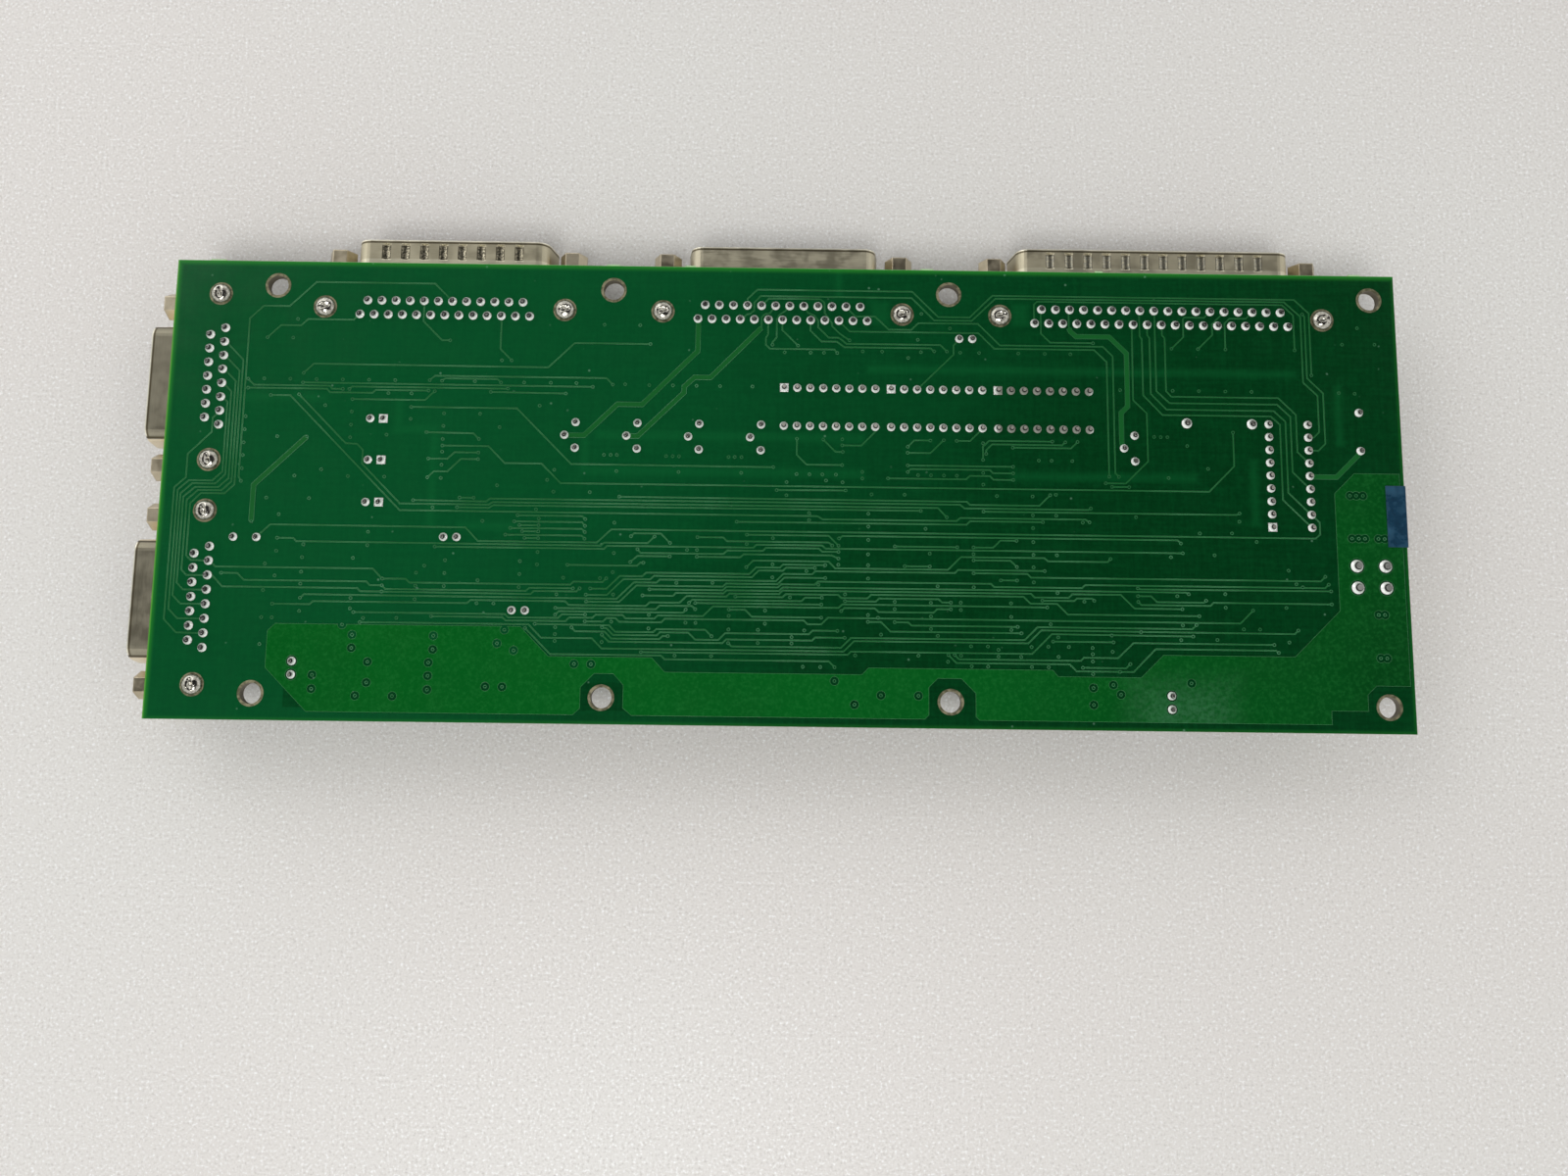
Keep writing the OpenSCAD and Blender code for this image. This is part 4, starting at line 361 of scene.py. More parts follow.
def laminate_finish(colours):
    """Green coat on both faces, pale bare walls, and a bright margin where no copper lies inside the laminate.

    Painted light lies on the coat too: a glow and a highlight along the top and left edges, and shade towards the
    lower right.
    """
    f = Finish("laminate", Specular_IOR_Level=0.4)
    u, v = board_uv(f)
    edge = u.least(v).least(BOARD_L - u).least(BOARD_W - v)
    # Margin: a faint strip of the board's own paler edge on every side, and a painted glow at full strength along
    # the top and left edges
    margin_and_painted_glow = v.least(u).ramp(1.3, -0.2).most(edge.ramp(0.9, 0) * 0.3)
    band = reduce(Wire.least, [off_box(u, v, *band) for band in HIDDEN_BANDS])
    clouds = f.noise(0.02, 3)
    mottle = f.noise(1.3, 3, 0.6)
    weave = f.noise(1, 2, place=f.stretched(1.6, 0.12, 1)) + f.noise(1, 2, place=f.stretched(0.12, 1.6, 1))

    # Painted shade: the coat darkens towards the lower right, where the light falls off, and random clouds deepen
    # it in patches
    shade = (u - 60) * (1 / 130) + (v - 20) * (1 / 150) + clouds.ramp(0.3, 0.7, -0.15, 0.1)
    coat = f.mix(shade.ramp(-0.1, 1.2), colours.mask, colours.mask_deep_and_shade)
    coat = f.mix(band.ramp(0.8, -0.7, 0, 0.25), coat, colours.mask_over_copper)
    coat = f.mix(inside_ground(u, v).ramp(0, 0.3) * (edge > 2.5) * 0.7, coat, tone(0, 48, 18))
    coat = f.mix(margin_and_painted_glow, coat, colours.margin)
    # Painted highlights: a pale line along the left edge and a paler one along the top edge
    coat = f.mix(u.ramp(0.35, 0.1) * 0.5, coat, tone(120, 180, 80))
    coat = f.mix(v.ramp(0.08, -0.02), coat, tone(176, 208, 162))
    coat = f.mix((mottle - 0.5) * 0.3 + (weave - 1) * 0.2 + 0.06, coat, tone(14, 104, 50))
    dust = f.cells(0.3).ramp(0.1, 0.03) * f.noise(0.4, 2).ramp(0.5, 0.62)
    coat = f.mix(dust * 0.4, coat, tone(110, 160, 130))

    under = f.mix(band.ramp(0.05, -0.05), tone(12, 88, 38), tone(22, 122, 52))
    under = f.mix((edge < 1.2).most((band > 0) * (band < 0.4)), under, colours.mask_deep_and_shade)

    wall = f.mix(f.noise(1, 3, place=f.stretched(0.5, 0.5, 9)), colours.wall, tone(196, 205, 150))
    wall = f.mix(edge > 1, wall, tone(104, 98, 84))
    up = f.facing()[2]
    skin = f.mix(up < 0, coat, under)
    f.set("Base Color", f.mix(abs(up) < 0.5, skin, wall))
    f.set("Roughness", f.noise(0.15, 3).ramp(0.3, 0.7, 0.14, 0.18).most((abs(up) < 0.5) * 0.6))
    f.set("Normal", f.bump(f.noise(2.2, 2) + weave * 0.6, 0.012, 0.4))
    f.wear_on("board")


def copper_finishes(colours):
    """Copper under the coat: a wide pour with a pale rim, and tracks that are nearly all rim.
    The rim is partly a thinner coat over the copper's edges and partly a painted highlight.

    Both darken to the right, the pour with painted shade where the light falls off, and the tracks towards the
    upper right corner.
    """
    f = Finish("coated_pour", Specular_IOR_Level=0.4)
    u, v = board_uv(f)
    # Painted shade: the pour darkens to the right, where the light falls off
    fill = f.mix(f.noise(0.03, 3).ramp(0.3, 0.7) * 0.3 + u.ramp(240, 90) * 0.7, tone(3, 63, 20), colours.pour)
    fill = f.mix((f.noise(1.5, 3, 0.6) - 0.45).most(0) * 0.8, fill, tone(40, 130, 60))
    # Dried flux on the ground area, its pale sheen a painted reflection of the light
    flux_sheen = off_box(u, v, *FLUX_SHEEN).ramp(8, -3) * f.noise(1.1, 4, 0.7).ramp(0.2, 0.8)
    fill = f.mix(flux_sheen * 0.55, fill, tone(68, 124, 88))
    # The pale rim is partly a thinner coat over the copper's edges and partly a painted highlight
    f.set("Base Color", f.mix(f.rim(0.22) * 0.7, fill, colours.rim))
    f.set("Roughness", f.noise(0.15, 3).ramp(0.3, 0.7, 0.14, 0.2))
    f.set("Normal", f.bump(f.noise(2.2, 2), 0.012, 0.4, f.soft_edges(0.05)))
    f.wear_on("ground_copper")

    f = Finish("coated_track", Roughness=0.25, Specular_IOR_Level=0.4)
    edge = f.mix(f.noise(0.08, 3).ramp(0.35, 0.65), tone(46, 110, 70), tone(86, 145, 108))
    u, v = board_uv(f)
    edge = f.mix(u.ramp(135, 155) * v.ramp(50, 40) * 0.65, edge, tone(24, 88, 50))
    # Tracks are nearly all rim: partly a thinner coat over the copper and partly a painted highlight
    f.set("Base Color", f.mix(f.rim(0.2), tone(20, 90, 38), edge))
    f.set("Normal", f.bump(f.noise(2.2, 2), 0.012, 0.4, f.soft_edges(0.05)))
    f.wear_on("tracks")


def solder_finish():
    """Bright solder with a grain and a neck in painted shade, gone dull under dried flux near the right-hand chip.
    """
    f = Finish("solder", Metallic=0.45)
    u, v = board_uv(f)
    dull = off_box(u, v, *DULL_JOINTS).ramp(0.6, -0.4)
    grain = f.noise(3, 3, 0.6)
    bright = f.mix(grain.ramp(0.3, 0.7), tone(226, 229, 224), tone(252, 254, 250))
    bright = f.mix(dull * 0.75, bright, tone(96, 100, 80))
    # Painted shade: the neck and pin top are dark where they would mirror the dark room overhead
    painted_neck_shade = f.axes()[2].ramp(JOINT_Z - 0.32, JOINT_Z - 0.12)
    f.set("Base Color", f.mix(painted_neck_shade, bright, tone(34, 34, 30)))
    f.set("Roughness", grain.ramp(0.3, 0.7, 0.16, 0.32).most(dull * 0.5))
    f.set("Normal", f.bump(f.noise(1.6, 3, 0.6), 0.08, 0.5, f.soft_edges(0.08)))
    f.wear_on("pin_solder")


def dome_finish():
    """Thick bright solder, wavy where it sank in between the prongs of a board lock."""
    f = Finish("dome_solder", Metallic=1.0)
    grain = f.noise(2.2, 3, 0.6)
    f.set("Base Color", f.mix(grain.ramp(0.3, 0.7), tone(136, 133, 122), tone(196, 193, 183)))
    f.set("Roughness", grain.ramp(0.3, 0.7, 0.1, 0.2))
    f.set("Normal", f.bump(f.noise(0.9, 3, 0.6), 0.25, 0.6))
    return f


def trim_finish():
    """Dull tinned copper that the coat leaves bare."""
    f = Finish("bare_trim", Metallic=0.8)
    patina = f.noise(1.1, 4, 0.6).ramp(0.35, 0.65)
    f.set("Base Color", f.mix(patina, tone(104, 102, 78), tone(152, 146, 118)))
    f.set("Roughness", patina * 0.2 + 0.42)
    f.set("Normal", f.bump(f.noise(4, 3), 0.02, 0.6))
    return f


# ---- Finishes of metal parts ----
def metal(name, dark, pale, nodes, low=0.4, high=0.52, grain=(1, 1, 1), edge=0.12):
    """Plated metal: patchy tone and gloss, a grain that may run one way, and softened edges."""
    f = Finish(name, Metallic=1.0)
    patches = f.noise(0.3, 3, 0.5).ramp(0.3, 0.7)
    lines = f.noise(1, 3, 0.6, f.stretched(*grain))
    f.set("Base Color", f.mix(patches * 0.35 + lines * 0.65, dark, pale))
    f.set("Roughness", (lines * 0.6 + patches * 0.4).ramp(0.3, 0.7, low, high))
    f.set("Normal", f.bump(lines, 0.004, 0.5, f.soft_edges(edge)))
    f.wear_on(*nodes)
    return f


def lipped_steel(name, dark, pale, left, grain):
    """The plated collar of a connector, with a painted highlight on the lip at its mouth and a painted shade line
    behind it.

    On the left edge its ends are rounded, which is shown by a painted highlight line and a painted shade line at
    each.
    """
    shell = f"{name}_front_shell"
    f = metal(f"collar_{name}", dark, pale, [shell], grain=grain, edge=0.2)
    low, high = (Vector(corner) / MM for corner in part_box(shell))
    x, y, _ = f.axes()
    lip = x - low.x if left else high.y - y
    # Painted shade: a dark line behind the lip
    steel = f.mix(lip.ramp(0.2, 0.4) * lip.ramp(0.75, 0.5), f.made("Base Color"), tone(92, 84, 66))
    # Painted highlight on the lip at the collar's mouth
    steel = f.mix(lip.ramp(0.3, 0.1), steel, tone(232, 228, 210))
    if left:
        end = (y - low.y).least(high.y - y) - LEFT_FLANGE_OVER
        # Painted highlight and painted shade lines that stand for the rounded ends of a left collar
        steel = f.mix(end.ramp(0.9, 0.6) * end.ramp(-0.4, 0), steel, tone(236, 224, 200))
        steel = f.mix(end.ramp(0.7, 0.9) * end.ramp(1.3, 1), steel, tone(84, 78, 62))
    f.set("Base Color", steel)
    return f


def dimpled_steel(name, middle, count, dull):
    """The collar of a plug, with crinkled dimples at an even pitch along it, their dark tone and outline painted
    shade.
    """
    f = lipped_steel(name, tone(170, 162, 137), tone(200, 193, 170), False, (0.4, 6, 6))
    u, v = board_uv(f)
    reach = count / 2 * DIMPLE_PITCH
    step = (u - (middle - reach)) % DIMPLE_PITCH
    wall = off_box(step, v, DIMPLE_PITCH / 2, DIMPLE_V, *DIMPLE_HALF)
    inside = (wall < 0) * (abs(u - middle) < reach)
    crinkle = f.noise(2.6, 2, 0.6)
    belt_start, belt_end = PALE_BELT
    steel = f.mix((v > belt_start) * (v < belt_end) * 0.45, f.made("Base Color"), tone(232, 228, 206))
    # The dimples' dark tone is painted shade of the recesses, broken by random crinkles
    steel = f.mix(inside * crinkle.ramp(0.62, 0.42), steel, tone(*dull))
    # Painted shade: a dark outline along the inside of each dimple's wall
    f.set("Base Color", f.mix(inside * wall.ramp(-0.35, -0.05) * 0.75, steel, tone(70, 66, 54)))
    f.set("Roughness", f.mix_number(inside, f.made("Roughness"), 0.34))
    f.set("Normal", f.bump(crinkle * inside, 0.02, 1, f.made("Normal")))


def shaded_lead_side(f):
    """A mask of the sides of the leads above the board, which get painted shade as they mirror nothing bright."""
    return (f.axes()[2] > TOP_Z) * (f.facing()[2] < 0.7)


def paint_lead_side_shade(f):
    """Paints shade on the sides of the leads in a finish that has its colour already."""
    f.set("Base Color", f.mix(shaded_lead_side(f), f.made("Base Color"), tone(*LEAD_SHADE)))


def contact_finish(nodes):
    """Gold flash on the mating ends, tin on the tails that come up through the board."""
    f = Finish("contact", Metallic=1.0)
    _, _, z = f.axes()
    tinned = z.ramp(UNDER_Z - 1.6, UNDER_Z - 0.8)
    worn = f.noise(2, 3)
    gold = f.mix(worn, tone(196, 150, 70), tone(232, 196, 120))
    tin = f.mix(worn, tone(150, 150, 146), tone(205, 205, 200))
    # Painted shade on the sides of the tinned tails
    tin = f.mix(shaded_lead_side(f), tin, tone(*LEAD_SHADE))
    f.set("Base Color", f.mix(tinned, gold, tin))
    f.set("Roughness", worn.ramp(0.3, 0.7, 0.18, 0.35))
    f.set("Normal", f.bump(worn, 0.04, 0.5, f.soft_edges(0.06)))
    f.wear_on(*nodes)


# ---- Finishes of plastics and coats ----
def moulded(name, dark, pale, nodes, low=0.38, high=0.55, texture=0.02, per_mm=3.5, leads=None):
    """Moulded plastic: fine spark texture, faint flow patches and softened edges.

    leads gives, from the finish, a mask of the tinned metal that belongs to the same nodes.
    """
    f = Finish(name)
    patches = f.noise(0.25, 3).ramp(0.3, 0.7)
    sparks = f.noise(per_mm, 3, 0.6)
    body = f.mix(patches * 0.6 + sparks * 0.4, dark, pale)
    rough = (patches * 0.5 + sparks * 0.5).ramp(0.3, 0.7, low, high)
    if leads:
        tinned = leads(f)
        tin = f.mix(sparks, tone(156, 154, 146), tone(208, 206, 198))
        # Painted shade on the sides of the tinned leads
        tin = f.mix(shaded_lead_side(f), tin, tone(*LEAD_SHADE))
        body = f.mix(tinned, body, tin)
        rough = f.mix_number(tinned, rough, sparks.ramp(0.3, 0.7, 0.2, 0.35))
        f.set("Metallic", tinned)
    f.set("Base Color", body)
    f.set("Roughness", rough)
    f.set("Normal", f.bump(sparks, texture, 0.7, f.soft_edges(0.12)))
    f.wear_on(*nodes)
    return f


def above(height):
    """A mask of all that is above a height in millimetres."""
    return lambda f: f.axes()[2] > height


def outside(low, high):
    """A mask of all that is below one height or above another."""
    return lambda f: (f.axes()[2] > high).most(f.axes()[2] < low)


def beyond(axis, middle, reach, height=None):
    """A mask of all that is further than a reach from a middle along U or V, or above a height."""

    def mask(f):
        far = abs(board_uv(f)["uv".index(axis)] - middle) > reach
        return far if height is None else far.most(f.axes()[2] > height)

    return mask


def passive_ends(f):
    """The tinned ends of the small ceramic parts, row by row."""
    u, v = board_uv(f)
    rows = []
    for start, end, middle in PASSIVE_ROWS:
        off = abs(v - middle)
        rows.append((off > CERAMIC_HALF) * (off < PASSIVE_HALF) * (u > start) * (u < end))
    return reduce(Wire.most, rows)


# ---- Modelling helpers ----
def deselect():
    """Leaves edit mode, and leaves nothing selected."""
    if bpy.context.object and bpy.context.object.mode != "OBJECT":
        bpy.ops.object.mode_set(mode="OBJECT")
    bpy.ops.object.select_all(action="DESELECT")


def edit(piece):
    """Opens a piece in edit mode and gives its bmesh."""
    bpy.context.view_layer.objects.active = piece
    bpy.ops.object.mode_set(mode="EDIT")
    return bmesh.from_edit_mesh(piece.data)


def choose_faces(piece, test):
    """Selects the faces that pass a test, and nothing else."""
    mesh = bmesh.from_edit_mesh(piece.data)
    bpy.ops.mesh.select_all(action="DESELECT")
    bpy.ops.mesh.select_mode(type="FACE")
    for face in mesh.faces:
        face.select_set(test(face))
    mesh.select_flush_mode()
    bmesh.update_edit_mesh(piece.data)


def copies(piece, places):
    """Copies a piece, modelled round the origin, to each place with a mesh of its own, and joins them."""
    made = []
    for place in places:
        twin = piece.copy()
        twin.data = piece.data.copy()
        twin.location = place
        bpy.context.collection.objects.link(twin)
        made.append(twin)
    bpy.data.objects.remove(piece)
    deselect()
    for twin in made:
        twin.select_set(True)
    bpy.context.view_layer.objects.active = made[0]
    bpy.ops.object.join()
    bpy.ops.object.transform_apply(location=True, rotation=True, scale=True)
    return made[0]


def settle(piece, name):
    """Names a finished piece, and lets it ride on the board."""
    piece.name = piece.data.name = name
    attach(piece, "root")
    return piece


def soften(piece, radius):
    """Rounds the sharp edges of a piece."""
    bevel = piece.modifiers.new("rounding", "BEVEL")
    bevel.width, bevel.segments, bevel.limit_method = radius * MM, 2, "ANGLE"
    bpy.ops.object.modifier_apply(modifier=bevel.name)


def ring(outer, inner, thick, segments=48):
    """A flat ring, standing on the origin."""
    deselect()
    bpy.ops.mesh.primitive_cylinder_add(
        vertices=segments, radius=outer * MM, depth=thick * MM, location=(0, 0, thick / 2 * MM)
    )
    piece = bpy.context.object
    edit(piece)
    choose_faces(piece, lambda face: abs(face.normal.z) > 0.9)
    bpy.ops.mesh.inset(thickness=(outer - inner) * MM, use_individual=True)
    bpy.ops.mesh.bridge_edge_loops()
    bpy.ops.mesh.select_all(action="SELECT")
    bpy.ops.mesh.normals_make_consistent(inside=False)
    bpy.ops.object.mode_set(mode="OBJECT")
    bpy.ops.object.transform_apply(location=True, rotation=True, scale=True)
    return piece


# ---- What a user may change ----
def colour(name, about, *parts):
    """A colour with a default of 0 to 255 in each part."""
    return bpy.props.FloatVectorProperty(
        name=name, description=about, subtype="COLOR", size=3, min=0, max=1, default=tone(*parts)
    )


def length(name, about, mm):
    """A length with a default in millimetres."""
    return bpy.props.FloatProperty(
        name=name, description=about, default=mm * MM, min=0, subtype="DISTANCE", unit="LENGTH"
    )


def strength(name, about, value, unit="NONE"):
    """A strength or focal length with its default."""
    return bpy.props.FloatProperty(name=name, description=about, default=value, min=0, unit=unit)


class BoardColours(bpy.types.PropertyGroup):
    """Colours of the coat and of what shows through it."""

    mask: colour("Coat", "Green coat over bare laminate", 5, 75, 37)
    # Deep coat: random darker patches, and the painted shade towards the lower right of the board
    mask_deep_and_shade: colour("Deep coat", "Darker patches of the coat", 0, 50, 19)
    mask_over_copper: colour("Coat over hidden copper", "Where component-side copper shows through", 16, 100, 50)
    # Margin colour: the board's own paler edge strip, brightened into a painted glow along the top and left edges
    margin: colour("Margin", "Edge strip that has no copper inside", 40, 128, 42)
    pour: colour("Ground area", "Coat over the ground copper", 4, 91, 27)
    # Rim colour: partly the thinner coat over copper edges, partly a painted highlight
    rim: colour("Copper rim", "Thin coat on the edges of the copper", 74, 136, 92)
    wall: colour("Board wall", "Cut edge of the laminate", 170, 190, 120)


class BoardTrim(bpy.types.PropertyGroup):
    """Sizes of the bare metal rings."""

    hole_inner: length("Hole ring bore", "Radius of a mounting hole", 2)
    hole_outer: length("Hole ring", "Outer radius of the bare ring round a mounting hole", 2.5)
    lock_inner: length("Lock ring bore", "Radius of the solder dome of a board lock", 1.95)
    lock_outer: length("Lock ring", "Outer radius of the bare ring round a board lock", 2.28)
    thick: length("Ring thickness", "Thickness of the bare rings", 0.04)


class BoardStage(bpy.types.PropertyGroup):
    """Camera, light and floor."""

    lens: strength("Lens", "Focal length on a 36 mm sensor", 26.546, "CAMERA")
    height: length("Camera height", "Height of the camera above the floor", 233.202)
    key: strength("Window", "Power of the wide light beyond the connectors of the long edge", 4.2, "POWER")
    fill: strength("Near light", "Power of the smaller light on the other side", 9.2, "POWER")
    sky: strength("Room light", "Strength of the even light around", 1.03)
    floor: colour("Floor", "Pale sheet under the board", 222, 220, 216)


# ---- Operators, one for each group of pieces ----
class BOARD_OT_coat(bpy.types.Operator):
    """Gives the laminate, the ground area and the tracks their green coat"""

    bl_idname = "board.coat"
    bl_label = "Coat the board"

    def execute(self, context):
        colours = context.scene.board_colours
        laminate_finish(colours)
        copper_finishes(colours)
        return {"FINISHED"}


class BOARD_OT_solder(bpy.types.Operator):
    """Gives the solder joints their finish"""

    bl_idname = "board.solder"
    bl_label = "Solder"

    def execute(self, context):
        solder_finish()
        return {"FINISHED"}


class BOARD_OT_bare_rings(bpy.types.Operator):
    """Lays bare metal rings round the mounting holes and the board locks"""

    bl_idname = "board.bare_rings"
    bl_label = "Bare rings"

    def execute(self, context):
        trim = context.scene.board_trim
        thick = trim.thick / MM
        finish = trim_finish()
        hole = ring(trim.hole_outer / MM, trim.hole_inner / MM, thick)
        places = [on_board(u, v, z) for z in (TOP_Z, UNDER_Z - thick) for u in MOUNT_U for v in MOUNT_V]
        piece = settle(copies(hole, places), "hole_rings")
        piece.data.materials.append(finish.material)
        lock = ring(trim.lock_outer / MM, trim.lock_inner / MM, thick)
        places = [on_board(u, v) for u, v in lock_places()]
        piece = settle(copies(lock, places), "lock_rings")
        piece.data.materials.append(finish.material)
        return {"FINISHED"}


class BOARD_OT_connectors(bpy.types.Operator):
    """Finishes the D-shaped connectors, their brackets and screws, and models their locks"""

    bl_idname = "board.connectors"
    bl_label = "Connectors"

    def execute(self, context):
        for name, (middle, _, left) in CONNECTORS.items():
            if name in DIMPLES:
                dimpled_steel(name, middle, *DIMPLES[name])
            elif left:
                lipped_steel(name, tone(116, 111, 94), tone(154, 149, 132), True, (7, 0.3, 7))
            else:
                lipped_steel(name, tone(158, 150, 126), tone(212, 206, 184), False, (0.25, 5, 5))
        rear, insulators, contacts = (
            [f"{name}_{part}" for name in CONNECTORS] for part in ("rear_shell", "insulator", "contacts")
        )
        metal("plated_steel", tone(176, 168, 142), tone(212, 206, 186), rear, grain=(0.4, 6, 6), edge=0.2)
        metal("bracket_steel", tone(170, 168, 160), tone(205, 204, 198), ["angle_brackets"])
        metal("screw_nickel", tone(170, 157, 128), tone(214, 204, 182), ["jackscrews"], 0.28, 0.4, edge=0.3)
        tin = metal("lock_metal", tone(150, 148, 140), tone(205, 204, 200), ["board_locks"], 0.2, 0.4, edge=0.15)
        self.add_locks(tin)
        self.add_domes(dome_finish())
        moulded("connector_plastic", tone(26, 26, 28), tone(44, 44, 46), insulators)
        contact_finish(contacts)
        return {"FINISHED"}

    def add_locks(self, finish):
        """Board locks with a flanged head under the board and prongs that end at its top."""
        deselect()
        middle = (0, 0, (HEAD_Z + HEAD_H / 2) * MM)
        bpy.ops.mesh.primitive_cylinder_add(vertices=40, radius=HEAD_R * MM, depth=HEAD_H * MM, location=middle)
        body = bpy.context.object
        bpy.ops.object.transform_apply(location=True)
        edit(body)
        choose_faces(body, lambda face: face.normal.z > 0.9)
        bpy.ops.mesh.inset(thickness=(HEAD_R - PRONG_R) * MM)
        rise = (0, 0, (TOP_Z - HEAD_Z - HEAD_H) * MM)
        bpy.ops.mesh.extrude_region_move(TRANSFORM_OT_translate={"value": rise})
        bpy.ops.object.mode_set(mode="OBJECT")
        soften(body, 0.12)
        places = [on_board(u, v, 0) for u, v in lock_places()]
        body = settle(copies(body, places), "lock_bodies")
        body.data.materials.append(finish.material)
        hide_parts("board_locks")

    def add_domes(self, finish):
        """A dome of solder over each lock, turned with its connector."""
        domes = []
        for turned in (False, True):
            dome = self.dome()
            if turned:
                dome.rotation_euler.z = math.pi / 2
                deselect()
                dome.select_set(True)
                bpy.context.view_layer.objects.active = dome
                bpy.ops.object.transform_apply(rotation=True)
            at = [on_board(u, v) for u, v in lock_places() if (u == LOCK_IN_LEFT) == turned]
            domes.append(copies(dome, at))
        deselect()
        for dome in domes:
            dome.select_set(True)
        bpy.context.view_layer.objects.active = domes[0]
        bpy.ops.object.join()
        piece = settle(domes[0], "lock_domes")
        piece.data.materials.append(finish.material)
        bpy.ops.object.shade_smooth()
        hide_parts("lock_solder")

    def dome(self):
        """A round cap of solder on the origin, sunk along the slit of the prongs that it covers."""
        deselect()
        bpy.ops.mesh.primitive_uv_sphere_add(segments=40, ring_count=24, radius=DOME_R * MM)
        dome = bpy.context.object
        mesh = edit(dome)
        bpy.ops.mesh.select_all(action="DESELECT")
        for vertex in mesh.verts:
            vertex.select_set(vertex.co.z < -0.01 * MM)
        mesh.select_flush_mode()
        bmesh.update_edit_mesh(dome.data)
        bpy.ops.mesh.delete(type="VERT")
        bpy.ops.mesh.select_all(action="SELECT")
        bpy.ops.transform.resize(value=(1, 1, DOME_H / DOME_R), center_override=(0, 0, 0))
        for along, depth in DENTS:
            mesh = bmesh.from_edit_mesh(dome.data)
            near = Vector((along, DENT_SLANT * along, DOME_H)) * MM
            bpy.ops.mesh.select_all(action="DESELECT")
            min(mesh.verts, key=lambda vertex: (vertex.co - near).length).select_set(True)
            bmesh.update_edit_mesh(dome.data)
            bpy.ops.transform.translate(
                value=(0, 0, -depth * MM), use_proportional_edit=True,
                proportional_edit_falloff="SMOOTH", proportional_size=DENT_SPREAD * MM,
            )
        bpy.ops.object.mode_set(mode="OBJECT")
        return dome


class BOARD_OT_chips(bpy.types.Operator):
    """Finishes the chips, their sockets and the small surface parts"""

    bl_idname = "board.chips"
    bl_label = "Chips"

    def execute(self, context):
        in_line = [f"dip16_{side}" for side in ("left", "middle", "right")]
        chips, sockets = [f"{name}_chip" for name in in_line], [f"{name}_socket" for name in (*in_line, "dip18")]
        moulded("socket_plastic", tone(30, 30, 32), tone(50, 50, 52), sockets, 0.3, 0.45)
        dark, pale = tone(34, 34, 36), tone(54, 54, 55)
        moulded("chip_plastic", dark, pale, chips, 0.5, 0.65, leads=beyond("v", CHIP_ROW_V, LEGS_OUT))
        turned_legs = beyond("u", TURNED_CHIP_U, LEGS_OUT)
        moulded("chip_plastic_turned", dark, pale, ["dip18_chip"], 0.5, 0.65, leads=turned_legs)
        moulded("surface_chip_plastic", dark, pale, ["surface_chips"], 0.45, 0.6)
        tinned = ["socket_contacts", "surface_metal"]
        # Painted shade on the sides of the tinned leads
        paint_lead_side_shade(metal("contact_tin", tone(176, 172, 160), tone(214, 211, 202), tinned))
        clay = tone(120, 92, 62), tone(160, 128, 92)
        moulded("passive_ceramic", *clay, ["chip_passives"], 0.3, 0.5, leads=passive_ends)
        return {"FINISHED"}


class BOARD_OT_leaded_parts(bpy.types.Operator):
    """Finishes the transistors, capacitors, fuse, diode and resistor"""

    bl_idname = "board.leaded_parts"
    bl_label = "Leaded parts"

    def execute(self, context):
        black = tone(28, 28, 28), tone(46, 46, 46)
        moulded("transistor_plastic", *black, [f"transistor_{i}" for i in range(1, 6)], leads=above(UNDER_Z - 2))
        for i, (u, v, radius) in enumerate(CANS, start=1):
            self.sleeve(i, u, v, radius)
        amber = tone(196, 130, 30), tone(224, 160, 50)
        moulded("fuse_coat", *amber, ["resettable_fuse"], 0.2, 0.35, 0.06, 1, leads=above(UNDER_Z - 1.6))
        moulded("diode_plastic", *black, ["diode"], leads=beyond("u", DIODE_U, 4, UNDER_Z - 0.35))
        self.resistor()
        return {"FINISHED"}

    def sleeve(self, number, u, v, radius):
        """A shrunk sleeve with one pale stripe, over a can whose end stays bare."""
        f = moulded(
            f"can_sleeve_{number}", tone(22, 28, 52), tone(34, 42, 74), [f"capacitor_{number}"], 0.2, 0.3, 0.01,
            leads=outside(SLEEVE_Z, UNDER_Z - 0.4),
        )
        here_u, here_v = board_uv(f)
        stripe = (abs(here_u - u) < STRIPE_HALF) * (here_v > v + radius * 0.6) * (f.axes()[2] > STRIPE_Z)
        f.set("Base Color", f.mix(stripe, f.made("Base Color"), tone(176, 182, 190)))

    def resistor(self):
        """A tan body with the four plain colour bands that give a value."""
        f = moulded(
            "resistor_coat", tone(196, 168, 126), tone(216, 190, 150), ["resistor"], 0.3, 0.4,
            leads=beyond("v", RESISTOR_V, 3, UNDER_Z - 0.15),
        )
        _, v = board_uv(f)
        skin = f.made("Base Color")
        for off, band in RESISTOR_BANDS:
            skin = f.mix(abs(v - (RESISTOR_V + off)) < BAND_HALF, skin, tone(*band))
        f.set("Base Color", skin)


class BOARD_OT_headers(bpy.types.Operator):
    """Finishes the jumper headers, the power header and the tape"""

    bl_idname = "board.headers"
    bl_label = "Headers and tape"

    def execute(self, context):
        jumpers = [f"jumper_header_{i}" for i in (1, 2, 3)]
        posts = outside(UNDER_Z - 2.5, UNDER_Z)
        moulded("header_plastic", tone(24, 24, 25), tone(42, 42, 43), jumpers, leads=posts)
        moulded("header_nylon", tone(214, 207, 186), tone(232, 227, 210), ["power_header"], 0.35, 0.5, 0.02)
        metal("power_tin", tone(140, 140, 136), tone(196, 196, 192), ["power_pins"])
        moulded("tape_film", tone(6, 34, 54), tone(30, 78, 104), ["edge_tape"], 0.25, 0.4, 0.02, 1)
        return {"FINISHED"}


